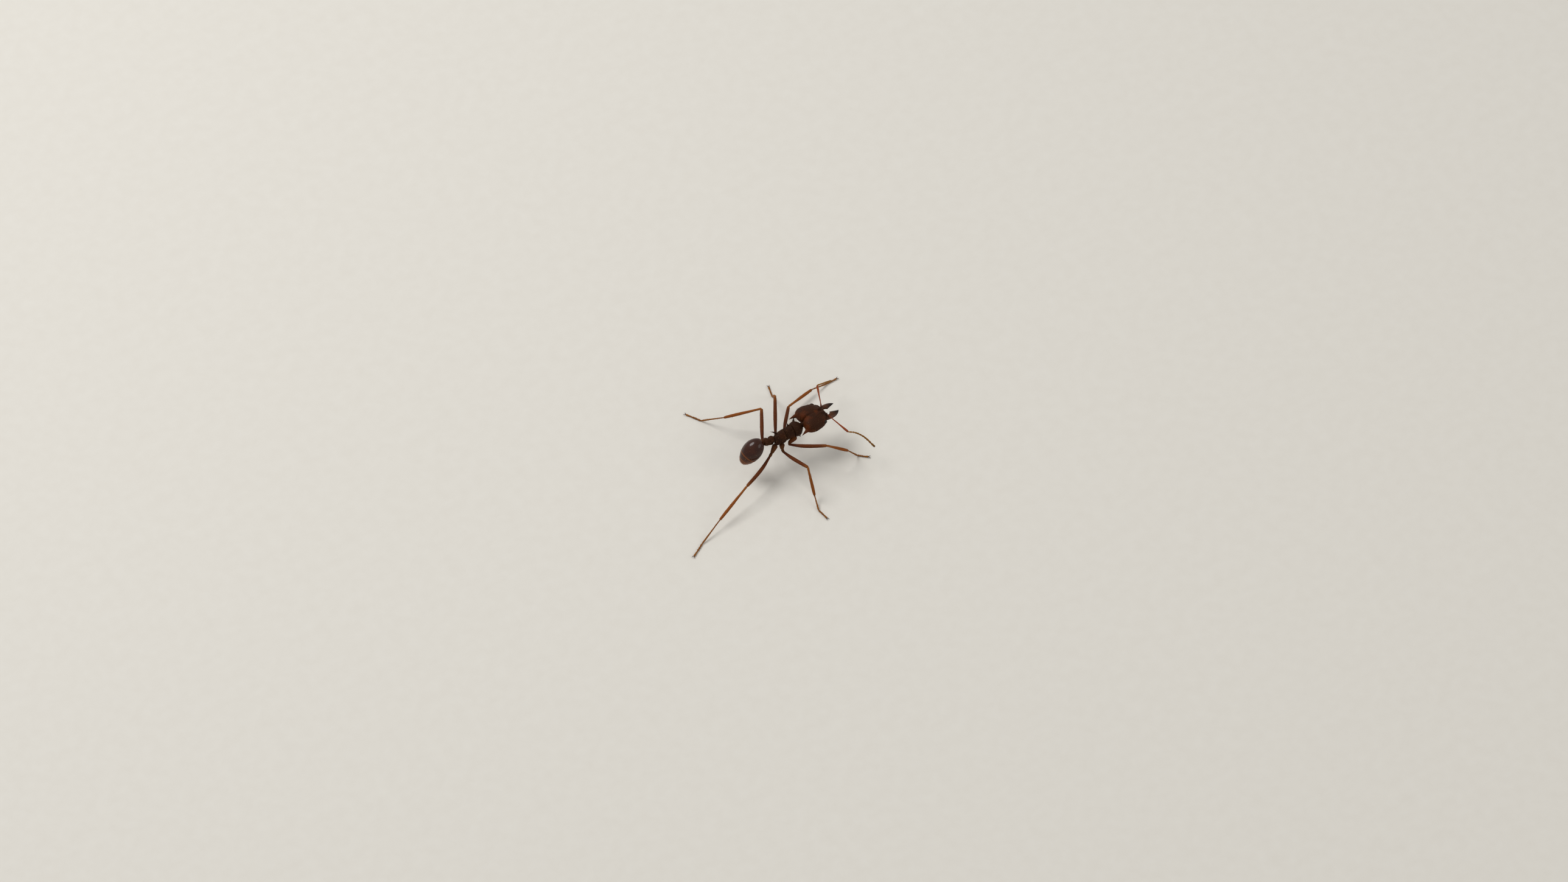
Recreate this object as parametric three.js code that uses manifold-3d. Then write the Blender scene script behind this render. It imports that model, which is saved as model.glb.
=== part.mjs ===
// A leafcutter ant worker as a life-size standing model: +X is forward, +Y is its left, +Z is up.
// Lengths are in millimetres and angles in degrees. The floor is z = 0, under the middle of the model.
import * as THREE from 'three';
import { mergeVertices } from 'three/addons/utils/BufferGeometryUtils.js';
import Module from 'manifold-3d';

const wasm = await Module();
wasm.setup();

// ---- driving dimensions ----
const THINNEST = 0.5; // the finest leg or feeler, thicker than life so that it holds together
const GAP = 0.03; // clear cut between two pieces that meet
const BODY_PLACE = new THREE.Vector3(2.34, -0.45, 0); // puts the middle of the footprint at the origin

const MESOSOMA = { rear: -1.42, front: 1.38, waist: 0.42 }; // the thorax, and where its front plate ends
const HEAD = { centre: [2.55, 0.08, 3.2], pitch: 4, rise: 0.66, depth: 0.62 };
// How far the head reaches from its middle, every 22.5 degrees from the mouth round to the neck.
const HEAD_OUTLINE = [1.2, 1.21, 1.21, 1.29, 1.34, 1.48, 1.55, 1.27, 0.98];
const EYE = { place: [0.56, 1.08, 0.12], size: [0.22, 0.16, 0.19] };
const OCCIPITAL_SPINE = { base: [-0.94, 0.88, -0.04], tip: [-1.76, 1.04, -0.3], radius: 0.32 };
const MANDIBLE = { hinge: [1.04, 0.58, -0.2], length: 1.24, thickness: 0.5, tilt: -12, open: 14, teeth: 7 };
const GASTER = { centre: [-3.48, 0.27, 2.64], length: 2.72, width: 1.72, height: 1.68, droop: 43, swing: 3 };
const GASTER_RINGS = [0.3, 0.7]; // where the plates of the gaster meet, from -1 at the waist to 1 at the tip

// Hip place, then the lengths of one leg of each pair: the foot is its long first joint and its toes.
const LEG = {
  front: {
    hip: [0.62, 0.3, 2.42], coxa: 0.91, trochanter: 0.43, femur: 3.34, tibia: 2.76, foot: [1.62, 0.96],
  },
  middle: {
    hip: [-0.8, 0.3, 2.5], coxa: 0.61, trochanter: 0.46, femur: 3.21, tibia: 2.69, foot: [1.27, 1.09],
  },
  hind: {
    hip: [-1.32, 0.18, 2.62], coxa: 0.88, trochanter: 0.56, femur: 3.14, tibia: 3.73, foot: [2.46, 1.47],
  },
};
// The stance: [turn, rise] of each length, the turn measured from straight ahead towards the leg's own side.
// The foot has turns alone, for its long first joint and its toes, because the floor sets how it falls.
const STANCE = {
  front_right: {
    coxa: [169, -11.5], trochanter: [78.5, 11], femur: [51, 21], tibia: [5, -45], foot: [-4.5, 45],
  },
  front_left: {
    coxa: [104.5, -38], trochanter: [114.5, -34], femur: [48.5, -14.5], tibia: [11.5, -4.5], foot: [4, 0],
  },
  middle_right: {
    coxa: [123.5, -65], trochanter: [88, -25], femur: [82.5, 21], tibia: [100, -61], foot: [108, 83],
  },
  middle_left: {
    coxa: [81.5, -48.5], trochanter: [68.5, 8.5], femur: [56.5, 22.5], tibia: [63, -52], foot: [67, 74],
  },
  hind_right: {
    coxa: [154.5, -33], trochanter: [155, -19], femur: [158, -6], tibia: [162, -13.5], foot: [160.5, 150.5],
  },
  hind_left: {
    coxa: [150.5, -24.5], trochanter: [173.5, 63], femur: [56.5, 10.5], tibia: [138.5, -29], foot: [125, 119.5],
  },
};
const TOE_JOINT_HEIGHT = 0.28; // middle of the foot where it leaves the long first foot joint
const TOE_TIP_HEIGHT = 0.2; // middle of the foot at its end, low enough for a small flat on the floor

const ANTENNA_SOCKET = [1.16, 0.42, 0.1];
const SCAPE_REACH = { right: [0.44, 2.6, 0.06], left: [0.9, 2.05, 0.2] };
const FUNICULUS_ELBOW = { right: [1.08, 0.2, -0.3], left: [0.95, 0.05, -0.3] };
const FUNICULUS_REACH = { right: [1.62, 1.55, -1.62], left: [1.9, 0.85, -1.7] };

const LIMB_SIDES = 8;
const BODY_SIDES = 16;

// ---- small tools ----
const rad = THREE.MathUtils.degToRad;
const vector = (place) => new THREE.Vector3(...place);
const toSide = (place, side) => new THREE.Vector3(place[0], side * place[1], place[2]);
const sideSign = (side) => (side === 'left' ? 1 : -1);

// A direction turned away from straight ahead towards one side, and raised above level.
function heading(turn, rise, side) {
  const aim = new THREE.Vector3(Math.cos(rad(turn)), side * Math.sin(rad(turn)), 0);
  return aim.multiplyScalar(Math.cos(rad(rise))).setZ(Math.sin(rad(rise)));
}

// A smooth value along evenly spaced stations, for 0 <= t <= 1.
function along(stations, t) {
  const curve = new THREE.CatmullRomCurve3(stations.map((value, i) => new THREE.Vector3(i, value, 0)));
  return curve.getPoint(t).y;
}

// Joins shared corners and drops triangles with no area, so that the surface is one closed body.
function closedSurface(geometry) {
  const bare = geometry.clone();
  bare.deleteAttribute('normal');
  bare.deleteAttribute('uv');
  const merged = mergeVertices(bare, 1e-5);
  const corners = merged.index.array;
  const kept = [];
  for (let i = 0; i < corners.length; i += 3) {
    const [a, b, c] = [corners[i], corners[i + 1], corners[i + 2]];
    if (a !== b && b !== c && c !== a) kept.push(a, b, c);
  }
  const places = new Float32Array(merged.attributes.position.array);
  return { vertProperties: places, triVerts: new Uint32Array(kept) };
}

const solid = (geometry) => new wasm.Manifold(new wasm.Mesh({ numProp: 3, ...closedSurface(geometry) }));
const join = (solids) => solids.reduce((whole, piece) => whole.add(piece));

// What is left of a piece clear of its neighbours, without the slivers that such a cut can leave beside it.
function cutBy(piece, neighbours) {
  const rest = neighbours.reduce((left, neighbour) => left.subtract(neighbour), piece);
  return rest.decompose().sort((a, b) => b.volume() - a.volume())[0];
}

// A block with one face at a given place, filling everything on one side of it.
function halfSpace(place, direction) {
  const size = 40;
  const block = new THREE.BoxGeometry(size, size, size);
  block.translate(0, 0, size / 2);
  block.applyQuaternion(new THREE.Quaternion().setFromUnitVectors(new THREE.Vector3(0, 0, 1), direction));
  block.translate(place.x, place.y, place.z);
  return solid(block);
}

// One straight length of limb with round ends, from one joint to the next.
function rod(start, end, startRadius, endRadius = startRadius, sides = LIMB_SIDES) {
  const length = start.distanceTo(end);
  const round = [0, 45, 90].map(rad);
  const profile = [
    ...round.map((a) => new THREE.Vector2(startRadius * Math.sin(a), -startRadius * Math.cos(a))),
    ...round.reverse().map((a) =>
      new THREE.Vector2(endRadius * Math.sin(a), length + endRadius * Math.cos(a))),
  ];
  profile[0].x = 0;
  profile[profile.length - 1].x = 0;
  const shape = new THREE.LatheGeometry(profile, sides);
  const aim = end.clone().sub(start).normalize();
  shape.applyQuaternion(new THREE.Quaternion().setFromUnitVectors(new THREE.Vector3(0, 1, 0), aim));
  shape.translate(start.x, start.y, start.z);
  return solid(shape);
}

// A chain of rods through a list of joints.
function limb(joints, radii, grow = 0) {
  const lengths = [];
  for (let i = 0; i + 1 < joints.length; i += 1) {
    lengths.push(rod(joints[i], joints[i + 1], radii[i] + grow, radii[i + 1] + grow));
  }
  return join(lengths);
}

// A pointed spine that grows out of a body plate.
function spine(base, tip, radius) {
  const shape = new THREE.ConeGeometry(radius, base.distanceTo(tip), 8);
  const aim = tip.clone().sub(base).normalize();
  shape.applyQuaternion(new THREE.Quaternion().setFromUnitVectors(new THREE.Vector3(0, 1, 0), aim));
  const middle = base.clone().add(tip).multiplyScalar(0.5);
  shape.translate(middle.x, middle.y, middle.z);
  return solid(shape);
}

function ellipsoid(place, size, sides = 12) {
  const shape = new THREE.SphereGeometry(1, sides, Math.round(sides * 0.6));
  shape.scale(...size);
  shape.translate(...place);
  return solid(shape);
}

// A body plate moulded from a ball with blunt ends: width, height and middle change along it.
const BLUNTNESS = 0.55;
function moulded(rear, front, form, grow = 0, sides = BODY_SIDES, rings = 12) {
  const ball = new THREE.SphereGeometry(1, sides, rings);
  ball.rotateZ(-Math.PI / 2);
  const corner = ball.attributes.position;
  for (let i = 0; i < corner.count; i += 1) {
    const t = (corner.getX(i) + 1) / 2;
    const blunt = Math.max(Math.hypot(corner.getY(i), corner.getZ(i)), 1e-6) ** -BLUNTNESS;
    const x = THREE.MathUtils.lerp(rear - grow, front + grow, t);
    const y = (along(form.halfWidth, t) + grow) * corner.getY(i) * blunt;
    const z = along(form.middle, t) + (along(form.halfHeight, t) + grow) * corner.getZ(i) * blunt;
    corner.setXYZ(i, x, y, z);
  }
  return solid(ball);
}

const group = new THREE.Group();
group.position.copy(BODY_PLACE);

function addPart(name, piece, finish) {
  const { vertProperties, triVerts } = piece.getMesh();
  const shape = new THREE.BufferGeometry();
  shape.setAttribute('position', new THREE.BufferAttribute(new Float32Array(vertProperties), 3));
  shape.setIndex(new THREE.BufferAttribute(new Uint32Array(triVerts), 1));
  shape.computeVertexNormals();
  const mesh = new THREE.Mesh(shape, new THREE.MeshStandardMaterial(finish));
  mesh.name = name;
  group.add(mesh);
}

const HEAD_FINISH = { color: 0x36230f, roughness: 0.6, metalness: 0 };
const THORAX_FINISH = { color: 0x33200f, roughness: 0.65, metalness: 0 };
const GASTER_FINISH = { color: 0x3a2212, roughness: 0.22, metalness: 0 };
const LEG_FINISH = { color: 0x6b3510, roughness: 0.45, metalness: 0 };
const FOOT_FINISH = { color: 0x93561f, roughness: 0.5, metalness: 0 };
const EYE_FINISH = { color: 0x2a2622, roughness: 0.3, metalness: 0 };

// ---- thorax: the front plate carries the neck, the rear one the waist ----
const THORAX_FORM = {
  halfWidth: [0.38, 0.46, 0.5, 0.5, 0.6, 0.78, 0.5],
  halfHeight: [0.56, 0.62, 0.64, 0.63, 0.68, 0.7, 0.46],
  middle: [3.06, 3.0, 2.98, 2.99, 3.02, 3.0, 3.0],
};
const THORAX_SPINES = [
  { base: [-1.0, 0.2, 3.5], tip: [-1.58, 0.36, 3.92], radius: 0.13 },
  { base: [0.22, 0.28, 3.48], tip: [0.16, 0.34, 3.92], radius: 0.14 },
  { base: [0.92, 0.56, 3.3], tip: [1.12, 0.77, 3.6], radius: 0.15 },
];

function thoraxBody(grow = 0) {
  return moulded(MESOSOMA.rear, MESOSOMA.front, THORAX_FORM, grow);
}

const neck = (grow = 0) => rod(vector([1.1, 0, 3.04]), vector([1.72, 0, 3.06]), 0.3 + grow);

function thorax() {
  const spines = THORAX_SPINES.flatMap(({ base, tip, radius }) =>
    [1, -1].map((side) => spine(toSide(base, side), toSide(tip, side), radius)));
  return join([thoraxBody(), ...spines, neck()]);
}

const wholeThorax = thorax();
const forward = new THREE.Vector3(1, 0, 0);
const frontPlateCut = halfSpace(vector([MESOSOMA.waist + GAP / 2, 0, 3]), forward);
const rearPlateCut = halfSpace(vector([MESOSOMA.waist - GAP / 2, 0, 3]), forward.clone().negate());
addPart('pronotum', wholeThorax.intersect(frontPlateCut), THORAX_FINISH);
addPart('rear_thorax', wholeThorax.intersect(rearPlateCut), THORAX_FINISH);

// ---- waist: two small knots ----
const PETIOLE = { place: [-1.6, 0.1, 3.2], size: [0.34, 0.32, 0.34] };
const POSTPETIOLE = { place: [-2.06, 0.2, 3.08], size: [0.34, 0.38, 0.33] };
const grown = (size) => size.map((value) => value + GAP);
addPart('petiole', cutBy(ellipsoid(PETIOLE.place, PETIOLE.size), [thoraxBody(GAP)]), THORAX_FINISH);
const petioleClear = ellipsoid(PETIOLE.place, grown(PETIOLE.size));
addPart('postpetiole', cutBy(ellipsoid(POSTPETIOLE.place, POSTPETIOLE.size), [petioleClear]), THORAX_FINISH);

// ---- gaster: a smooth egg of overlapping plates, hanging down behind ----
const gasterAim = heading(180 - GASTER.swing, -GASTER.droop, 1);
const gasterTurn = new THREE.Quaternion().setFromUnitVectors(forward, gasterAim);

function gasterBody(grow = 0) {
  const ball = new THREE.SphereGeometry(1, 18, 12);
  ball.rotateZ(-Math.PI / 2);
  const corner = ball.attributes.position;
  for (let i = 0; i < corner.count; i += 1) {
    const t = corner.getX(i);
    const fullness = 1 - 0.1 * t - 0.08 * t * t; // rounder at the waist end, drawn in at the tip
    corner.setXYZ(
      i,
      t * (GASTER.length / 2 + grow),
      corner.getY(i) * fullness * (GASTER.width / 2 + grow) * 1.02,
      corner.getZ(i) * fullness * (GASTER.height / 2 + grow) * 1.02,
    );
  }
  ball.applyQuaternion(gasterTurn);
  ball.translate(...GASTER.centre);
  return solid(ball);
}

const postpetioleClear = ellipsoid(POSTPETIOLE.place, grown(POSTPETIOLE.size));
const wholeGaster = cutBy(gasterBody(), [postpetioleClear]);
const ringPlaces = GASTER_RINGS.map((t) =>
  vector(GASTER.centre).addScaledVector(gasterAim, (t * GASTER.length) / 2));
const towardsTip = (place, shift) => halfSpace(place.clone().addScaledVector(gasterAim, shift), gasterAim);
addPart('gaster_front', wholeGaster.subtract(towardsTip(ringPlaces[0], -GAP / 2)), GASTER_FINISH);
addPart(
  'gaster_middle',
  wholeGaster.intersect(towardsTip(ringPlaces[0], GAP / 2)).subtract(towardsTip(ringPlaces[1], -GAP / 2)),
  GASTER_FINISH,
);
addPart('gaster_tip', wholeGaster.intersect(towardsTip(ringPlaces[1], GAP / 2)), GASTER_FINISH);

// ---- head: a heart-shaped capsule with its cleft at the neck ----
const headTurn = new THREE.Quaternion().setFromAxisAngle(new THREE.Vector3(0, 1, 0), rad(HEAD.pitch));
const onHead = (place, side = 1) => toSide(place, side).applyQuaternion(headTurn).add(vector(HEAD.centre));

function headCapsule(grow = 0) {
  const ball = new THREE.SphereGeometry(1, 28, 14);
  ball.rotateX(Math.PI / 2);
  const corner = ball.attributes.position;
  const dot = new THREE.Vector3();
  for (let i = 0; i < corner.count; i += 1) {
    dot.fromBufferAttribute(corner, i);
    const turn = Math.abs(Math.atan2(dot.y, dot.x)) / Math.PI;
    const spread = Math.hypot(dot.x, dot.y) ** 0.8;
    const reach = (along(HEAD_OUTLINE, turn) + grow) * spread;
    const level = Math.hypot(dot.x, dot.y) || 1;
    const x = (dot.x / level) * reach;
    const y = (dot.y / level) * reach;
    const thickness = (dot.z > 0 ? HEAD.rise : HEAD.depth) * (1 - 0.16 * x) + grow;
    corner.setXYZ(i, x, y, Math.sign(dot.z) * Math.abs(dot.z) ** 0.9 * thickness);
  }
  ball.applyQuaternion(headTurn);
  ball.translate(...HEAD.centre);
  return solid(ball);
}

const SIDES = ['left', 'right'];
const headSpines = SIDES.map((name) => {
  const side = sideSign(name);
  return spine(onHead(OCCIPITAL_SPINE.base, side), onHead(OCCIPITAL_SPINE.tip, side), OCCIPITAL_SPINE.radius);
});
const frontalLobe = (side, grow = 0) =>
  rod(onHead([0.55, 0.2, 0.42], side), onHead([0.98, 0.3, 0.34], side), 0.16 + grow);
const eyeOf = (side, grow = 0) => {
  const shape = new THREE.SphereGeometry(1, 12, 8);
  shape.scale(...EYE.size.map((value) => value + grow));
  shape.rotateZ(side * rad(-22));
  shape.applyQuaternion(headTurn);
  const place = onHead(EYE.place, side);
  shape.translate(place.x, place.y, place.z);
  return solid(shape);
};
const capsule = headCapsule();
const eyeSockets = SIDES.map((name) => eyeOf(sideSign(name), GAP));
const frontalLobes = [frontalLobe(1), frontalLobe(-1)];
const wholeHead = join([capsule, ...headSpines, ...frontalLobes]);
addPart('head', cutBy(wholeHead, [...eyeSockets, neck(GAP), thoraxBody(GAP)]), HEAD_FINISH);
for (const name of SIDES) addPart(`eye_${name}`, eyeOf(sideSign(name)), EYE_FINISH);

// ---- mandibles: curved blades with a row of teeth on the inner edge ----
function mandible(side) {
  const { length, thickness, teeth } = MANDIBLE;
  const blade = new THREE.Shape();
  blade.moveTo(-0.2, 0.18);
  blade.quadraticCurveTo(length * 0.8, 0.2, length, -0.5);
  const biteStart = new THREE.Vector2(length, -0.5);
  const biteEnd = new THREE.Vector2(length * 0.36, -0.54);
  for (let i = 1; i <= teeth; i += 1) {
    const notch = biteStart.clone().lerp(biteEnd, (i - 0.5) / teeth);
    const tooth = biteStart.clone().lerp(biteEnd, i / teeth);
    blade.lineTo(notch.x, notch.y + 0.07);
    blade.lineTo(tooth.x, tooth.y);
  }
  blade.quadraticCurveTo(length * 0.3, -0.24, -0.2, -0.24);
  blade.closePath();
  const shape = new THREE.ExtrudeGeometry(blade, { depth: thickness, bevelEnabled: false, curveSegments: 6 });
  shape.translate(0, 0, -thickness / 2);
  shape.rotateX(rad(MANDIBLE.tilt));
  if (side < 0) shape.applyMatrix4(new THREE.Matrix4().makeScale(1, -1, 1));
  shape.rotateZ(side * rad(MANDIBLE.open));
  shape.applyQuaternion(headTurn);
  const place = onHead(MANDIBLE.hinge, side);
  shape.translate(place.x, place.y, place.z);
  return shape;
}

// Turning a shape into its mirror image also turns its triangles inside out, so their corners swap.
function mirroredSolid(shape, side) {
  const surface = closedSurface(shape);
  if (side < 0) {
    for (let i = 0; i < surface.triVerts.length; i += 3) {
      [surface.triVerts[i], surface.triVerts[i + 1]] = [surface.triVerts[i + 1], surface.triVerts[i]];
    }
  }
  return new wasm.Manifold(new wasm.Mesh({ numProp: 3, ...surface }));
}

// ---- antennae: a straight scape out to the side, then a bent feeler ----
for (const name of SIDES) {
  const side = sideSign(name);
  const socket = onHead(ANTENNA_SOCKET, side);
  const elbow = socket.clone().add(toSide(SCAPE_REACH[name], side));
  const scape = (grow) => limb([socket, elbow], [THINNEST / 2, THINNEST / 2], grow);
  const faceClear = [headCapsule(GAP), frontalLobe(side, GAP)];
  const path = new THREE.QuadraticBezierCurve3(
    elbow,
    elbow.clone().add(toSide(FUNICULUS_ELBOW[name], side)),
    elbow.clone().add(toSide(FUNICULUS_REACH[name], side)),
  );
  const feeler = path.getPoints(3);
  const funiculus = limb(feeler, feeler.map(() => THINNEST / 2));
  const jaw = mirroredSolid(mandible(side), side);
  addPart(`mandible_${name}`, cutBy(jaw, [...faceClear, scape(GAP)]), HEAD_FINISH);
  addPart(`scape_${name}`, cutBy(scape(0), faceClear), LEG_FINISH);
  addPart(`funiculus_${name}`, cutBy(funiculus, [scape(GAP)]), FOOT_FINISH);
}

// ---- legs ----
// Lays the joints of one leg out from its hip, and sets the foot down on the floor.
function legJoints(pair, side, stance) {
  const size = LEG[pair];
  const [firstTurn, toesTurn] = stance.foot;
  const [firstLength, toesLength] = size.foot;
  const joints = { hip: toSide(size.hip, side) };
  const step = (from, length, [turn, rise]) =>
    joints[from].clone().addScaledVector(heading(turn, rise, side), length);
  joints.coxa = step('hip', size.coxa, stance.coxa);
  joints.trochanter = step('coxa', size.trochanter, stance.trochanter);
  joints.knee = step('trochanter', size.femur, stance.femur);
  joints.ankle = step('knee', size.tibia, stance.tibia);
  const fall = (from, height, length) =>
    THREE.MathUtils.radToDeg(Math.asin((height - joints[from].z) / length));
  joints.ball = step('ankle', firstLength, [firstTurn, fall('ankle', TOE_JOINT_HEIGHT, firstLength)]);
  joints.toe = step('ball', toesLength, [toesTurn, fall('ball', TOE_TIP_HEIGHT, toesLength)]);
  return joints;
}

const belowFloor = halfSpace(new THREE.Vector3(0, 0, 0), new THREE.Vector3(0, 0, -1));
const taken = [thoraxBody(GAP), petioleClear, postpetioleClear, gasterBody(GAP)];
const thin = THINNEST / 2;

for (const [name, stance] of Object.entries(STANCE)) {
  const [pair, sideName] = name.split('_');
  const at = legJoints(pair, sideSign(sideName), stance);
  const coxa = (grow) => limb([at.hip, at.coxa], [0.28, 0.26], grow);
  const femur = (grow) => limb([at.coxa, at.trochanter, at.knee], [thin, thin + 0.04, thin + 0.03], grow);
  const tibia = (grow) => limb([at.knee, at.ankle], [thin, thin], grow);
  const tarsus = limb([at.ankle, at.ball, at.toe], [thin, thin, thin]);
  addPart(`coxa_${name}`, cutBy(coxa(0), taken), LEG_FINISH);
  addPart(`femur_${name}`, cutBy(femur(0), [coxa(GAP), ...taken]), LEG_FINISH);
  taken.push(coxa(GAP), femur(GAP));
  addPart(`tibia_${name}`, cutBy(tibia(0), [femur(GAP)]), LEG_FINISH);
  addPart(`tarsus_${name}`, cutBy(tarsus, [tibia(GAP), belowFloor]), FOOT_FINISH);
}

export default group;
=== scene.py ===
# %% [markdown]
# # A leafcutter ant, shell by shell
# An ant wears its skeleton on the outside: hard shells joined by thin soft skin. This lesson
# dresses the solids of a worker ant in those shells. It makes the heart-shaped head with its
# toothed jaws and elbowed feelers, the spined thorax, the waist of two knots, the glossy gaster,
# and six jointed legs with their claws and bristles. The ant's place and the lines of its limbs
# come from the solids that the frame brings in, so the first step is to load the frame and
# measure its box.

import bpy
import numpy as np
from mathutils import Matrix, Vector


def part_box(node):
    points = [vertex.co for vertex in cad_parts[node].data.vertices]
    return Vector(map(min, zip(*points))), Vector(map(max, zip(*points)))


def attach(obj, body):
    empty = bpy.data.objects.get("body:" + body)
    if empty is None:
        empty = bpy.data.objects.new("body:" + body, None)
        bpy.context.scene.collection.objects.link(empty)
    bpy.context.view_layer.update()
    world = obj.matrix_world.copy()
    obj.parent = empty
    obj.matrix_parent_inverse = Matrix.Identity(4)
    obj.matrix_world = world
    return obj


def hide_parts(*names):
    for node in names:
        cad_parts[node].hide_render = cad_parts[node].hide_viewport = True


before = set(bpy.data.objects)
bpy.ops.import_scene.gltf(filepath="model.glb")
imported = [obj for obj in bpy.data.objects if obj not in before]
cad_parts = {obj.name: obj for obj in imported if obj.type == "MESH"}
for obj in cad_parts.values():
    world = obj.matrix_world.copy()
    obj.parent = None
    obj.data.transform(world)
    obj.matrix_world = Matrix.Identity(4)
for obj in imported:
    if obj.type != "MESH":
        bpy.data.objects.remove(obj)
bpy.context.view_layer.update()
print("the frame holds", len(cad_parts), "solids")

# %% [markdown]
# ## Working in millimetres
# Blender counts in metres, and an ant is 9 mm long, so we work in millimetres and shrink each
# mesh once, when it is made. We also work from the ant's own origin, which lies on the floor
# under the thorax, a little behind the seam between the thorax's front and rear solids. It is
# read from the boxes of the solids, so the shells follow if the solids ever move. An ant is the
# same on both sides, so places are given for the left and mirrored for the right.

# %% Millimetres and the ant's own origin
MM = 0.001
PLATE_SEAM = 0.405  # how far ahead of the ant's origin the rear thorax solid ends
SIDES = {"left": 1, "right": -1}
PAIRS = ("front", "middle", "hind")


def box_mm(*nodes):
    """The lowest and highest corner of some solids, in millimetres."""
    corners = np.array([[list(corner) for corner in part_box(node)] for node in nodes]) / MM
    return corners[:, 0].min(axis=0), corners[:, 1].max(axis=0)


def middle_mm(*nodes):
    low, high = box_mm(*nodes)
    return (low + high) / 2


def mirrored(place, side):
    """A place of the left side as it is, or carried over to the right."""
    return np.multiply(place, (1, side, 1))


ORIGIN = np.array([box_mm("rear_thorax")[1][0] - PLATE_SEAM, middle_mm("pronotum")[1], 0.0])
print("the ant's origin is at", ORIGIN.round(3), "mm")

# %% [markdown]
# ## From points to pieces
# Nearly every shell here is a bent ball or a bent tube: rings of points from one tip to the
# other. We compute the rings with NumPy, because a formula places thousands of points at once,
# and then stitch neighbouring rings together with four-sided faces. Pieces that should flow into
# each other, such as a spine and the plate it grows from, are merged afterwards with Blender's
# voxel remesh, which wraps one skin around everything it is given.


# %% Stitch rings of points into a closed surface
def closed_surface(rings):
    """Corners and faces of a surface whose first and last rings are single tips."""
    count, sides = rings.shape[:2]
    corners = np.vstack([rings[:1, 0], rings[1:-1].reshape(-1, 3), rings[-1:, 0]])
    here = np.arange(sides)
    after = np.roll(here, -1)
    tip = len(corners) - 1
    faces = [(0, 1 + b, 1 + a) for a, b in zip(here, after)]
    for start in range(1, 1 + (count - 3) * sides, sides):
        ring = np.stack([here, after, after + sides, here + sides], axis=1) + start
        faces += [tuple(face) for face in ring.tolist()]
    last = 1 + (count - 3) * sides
    faces += [(last + a, last + b, tip) for a, b in zip(here, after)]
    return turned_outwards(corners, faces)


def turned_outwards(corners, faces):
    """Turns the faces round if they look inwards, which their signed volume tells."""
    fans = [(f[0], f[i], f[i + 1]) for f in faces for i in range(1, len(f) - 1)]
    a, b, c = (corners[list(ids)] for ids in zip(*fans))
    inside_out = np.einsum("ij,ij->", a - corners[0], np.cross(b - corners[0], c - corners[0])) < 0
    return corners, [face[::-1] for face in faces] if inside_out else faces


# %% Make a mesh of one or more surfaces
def mesh_mm(name, surfaces):
    """One mesh of several surfaces, still in the ant's own millimetres."""
    corners, faces, offset = [], [], 0
    for points, polygons in surfaces:
        corners.append(points)
        faces += [tuple(i + offset for i in polygon) for polygon in polygons]
        offset += len(points)
    mesh = bpy.data.meshes.new(name)
    mesh.from_pydata(np.vstack(corners).tolist(), [], faces)
    return mesh


def settle(name, mesh):
    """Shrinks the mesh to metres, moves it to the ant's place and links it as a smooth piece."""
    mesh.transform(Matrix.Translation(Vector(ORIGIN * MM)) @ Matrix.Scale(MM, 4))
    mesh.polygons.foreach_set("use_smooth", [True] * len(mesh.polygons))
    mesh.update()
    piece = bpy.data.objects.new(name, mesh)
    bpy.context.scene.collection.objects.link(piece)
    return piece


# %% Merge surfaces into one skin
def merged_mesh(name, surfaces, voxel=0.02, smoothing=4):
    """One skin wrapped around several closed surfaces, with soft fillets where they meet."""
    rough = bpy.data.objects.new(name + "_rough", mesh_mm(name + "_rough", surfaces))
    bpy.context.scene.collection.objects.link(rough)
    remesh = rough.modifiers.new("one skin", "REMESH")
    remesh.mode = "VOXEL"
    remesh.voxel_size = voxel
    smooth = rough.modifiers.new("soft fillets", "SMOOTH")
    smooth.factor = 0.5
    smooth.iterations = smoothing
    view = bpy.context.evaluated_depsgraph_get()
    mesh = bpy.data.meshes.new_from_object(rough.evaluated_get(view))
    mesh.name = name
    bpy.data.objects.remove(rough)
    return mesh


# %% [markdown]
# ## Smooth profiles
# A shell's width changes along its length, and a maker would draw that as a soft curve through
# a few measured stations. The curve here is Catmull-Rom, which passes through every station.
# Each shell then needs only a handful of named widths and heights. Limbs and spines follow a
# curve in space in the same way, and a tube is laid around it.


# %% A smooth curve through a few stations
def smooth_through(stations, t):
    """The value at t, from 0 to 1, of a soft curve through evenly spaced stations."""
    values = np.asarray(stations, float)
    padded = np.concatenate([[2 * values[0] - values[1]], values, [2 * values[-1] - values[-2]]])
    place = np.clip(t, 0, 1) * (len(values) - 1)
    left = np.minimum(place.astype(int), len(values) - 2)
    s = (place - left).reshape(place.shape + (1,) * (values.ndim - 1))
    a, b, c, d = (padded[left + k] for k in range(4))
    square = (2 * a - 5 * b + 4 * c - d) * s**2
    cube = (3 * b - a - 3 * c + d) * s**3
    return 0.5 * (2 * b + (c - a) * s + square + cube)


def soft_step(low, high, value):
    """0 at low, 1 at high, and soft in between; low may be the larger of the two."""
    t = np.clip((value - low) / (high - low), 0, 1)
    return t * t * (3 - 2 * t)


# %% A path in space
PATH_POINTS = 120  # how many points stand for a smooth line
GLANCE = 0.02  # the share of the path before and after a place that gives its direction there
STEEP = 0.95  # a path that climbs more steeply than this takes its sideways direction from +X


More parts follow.
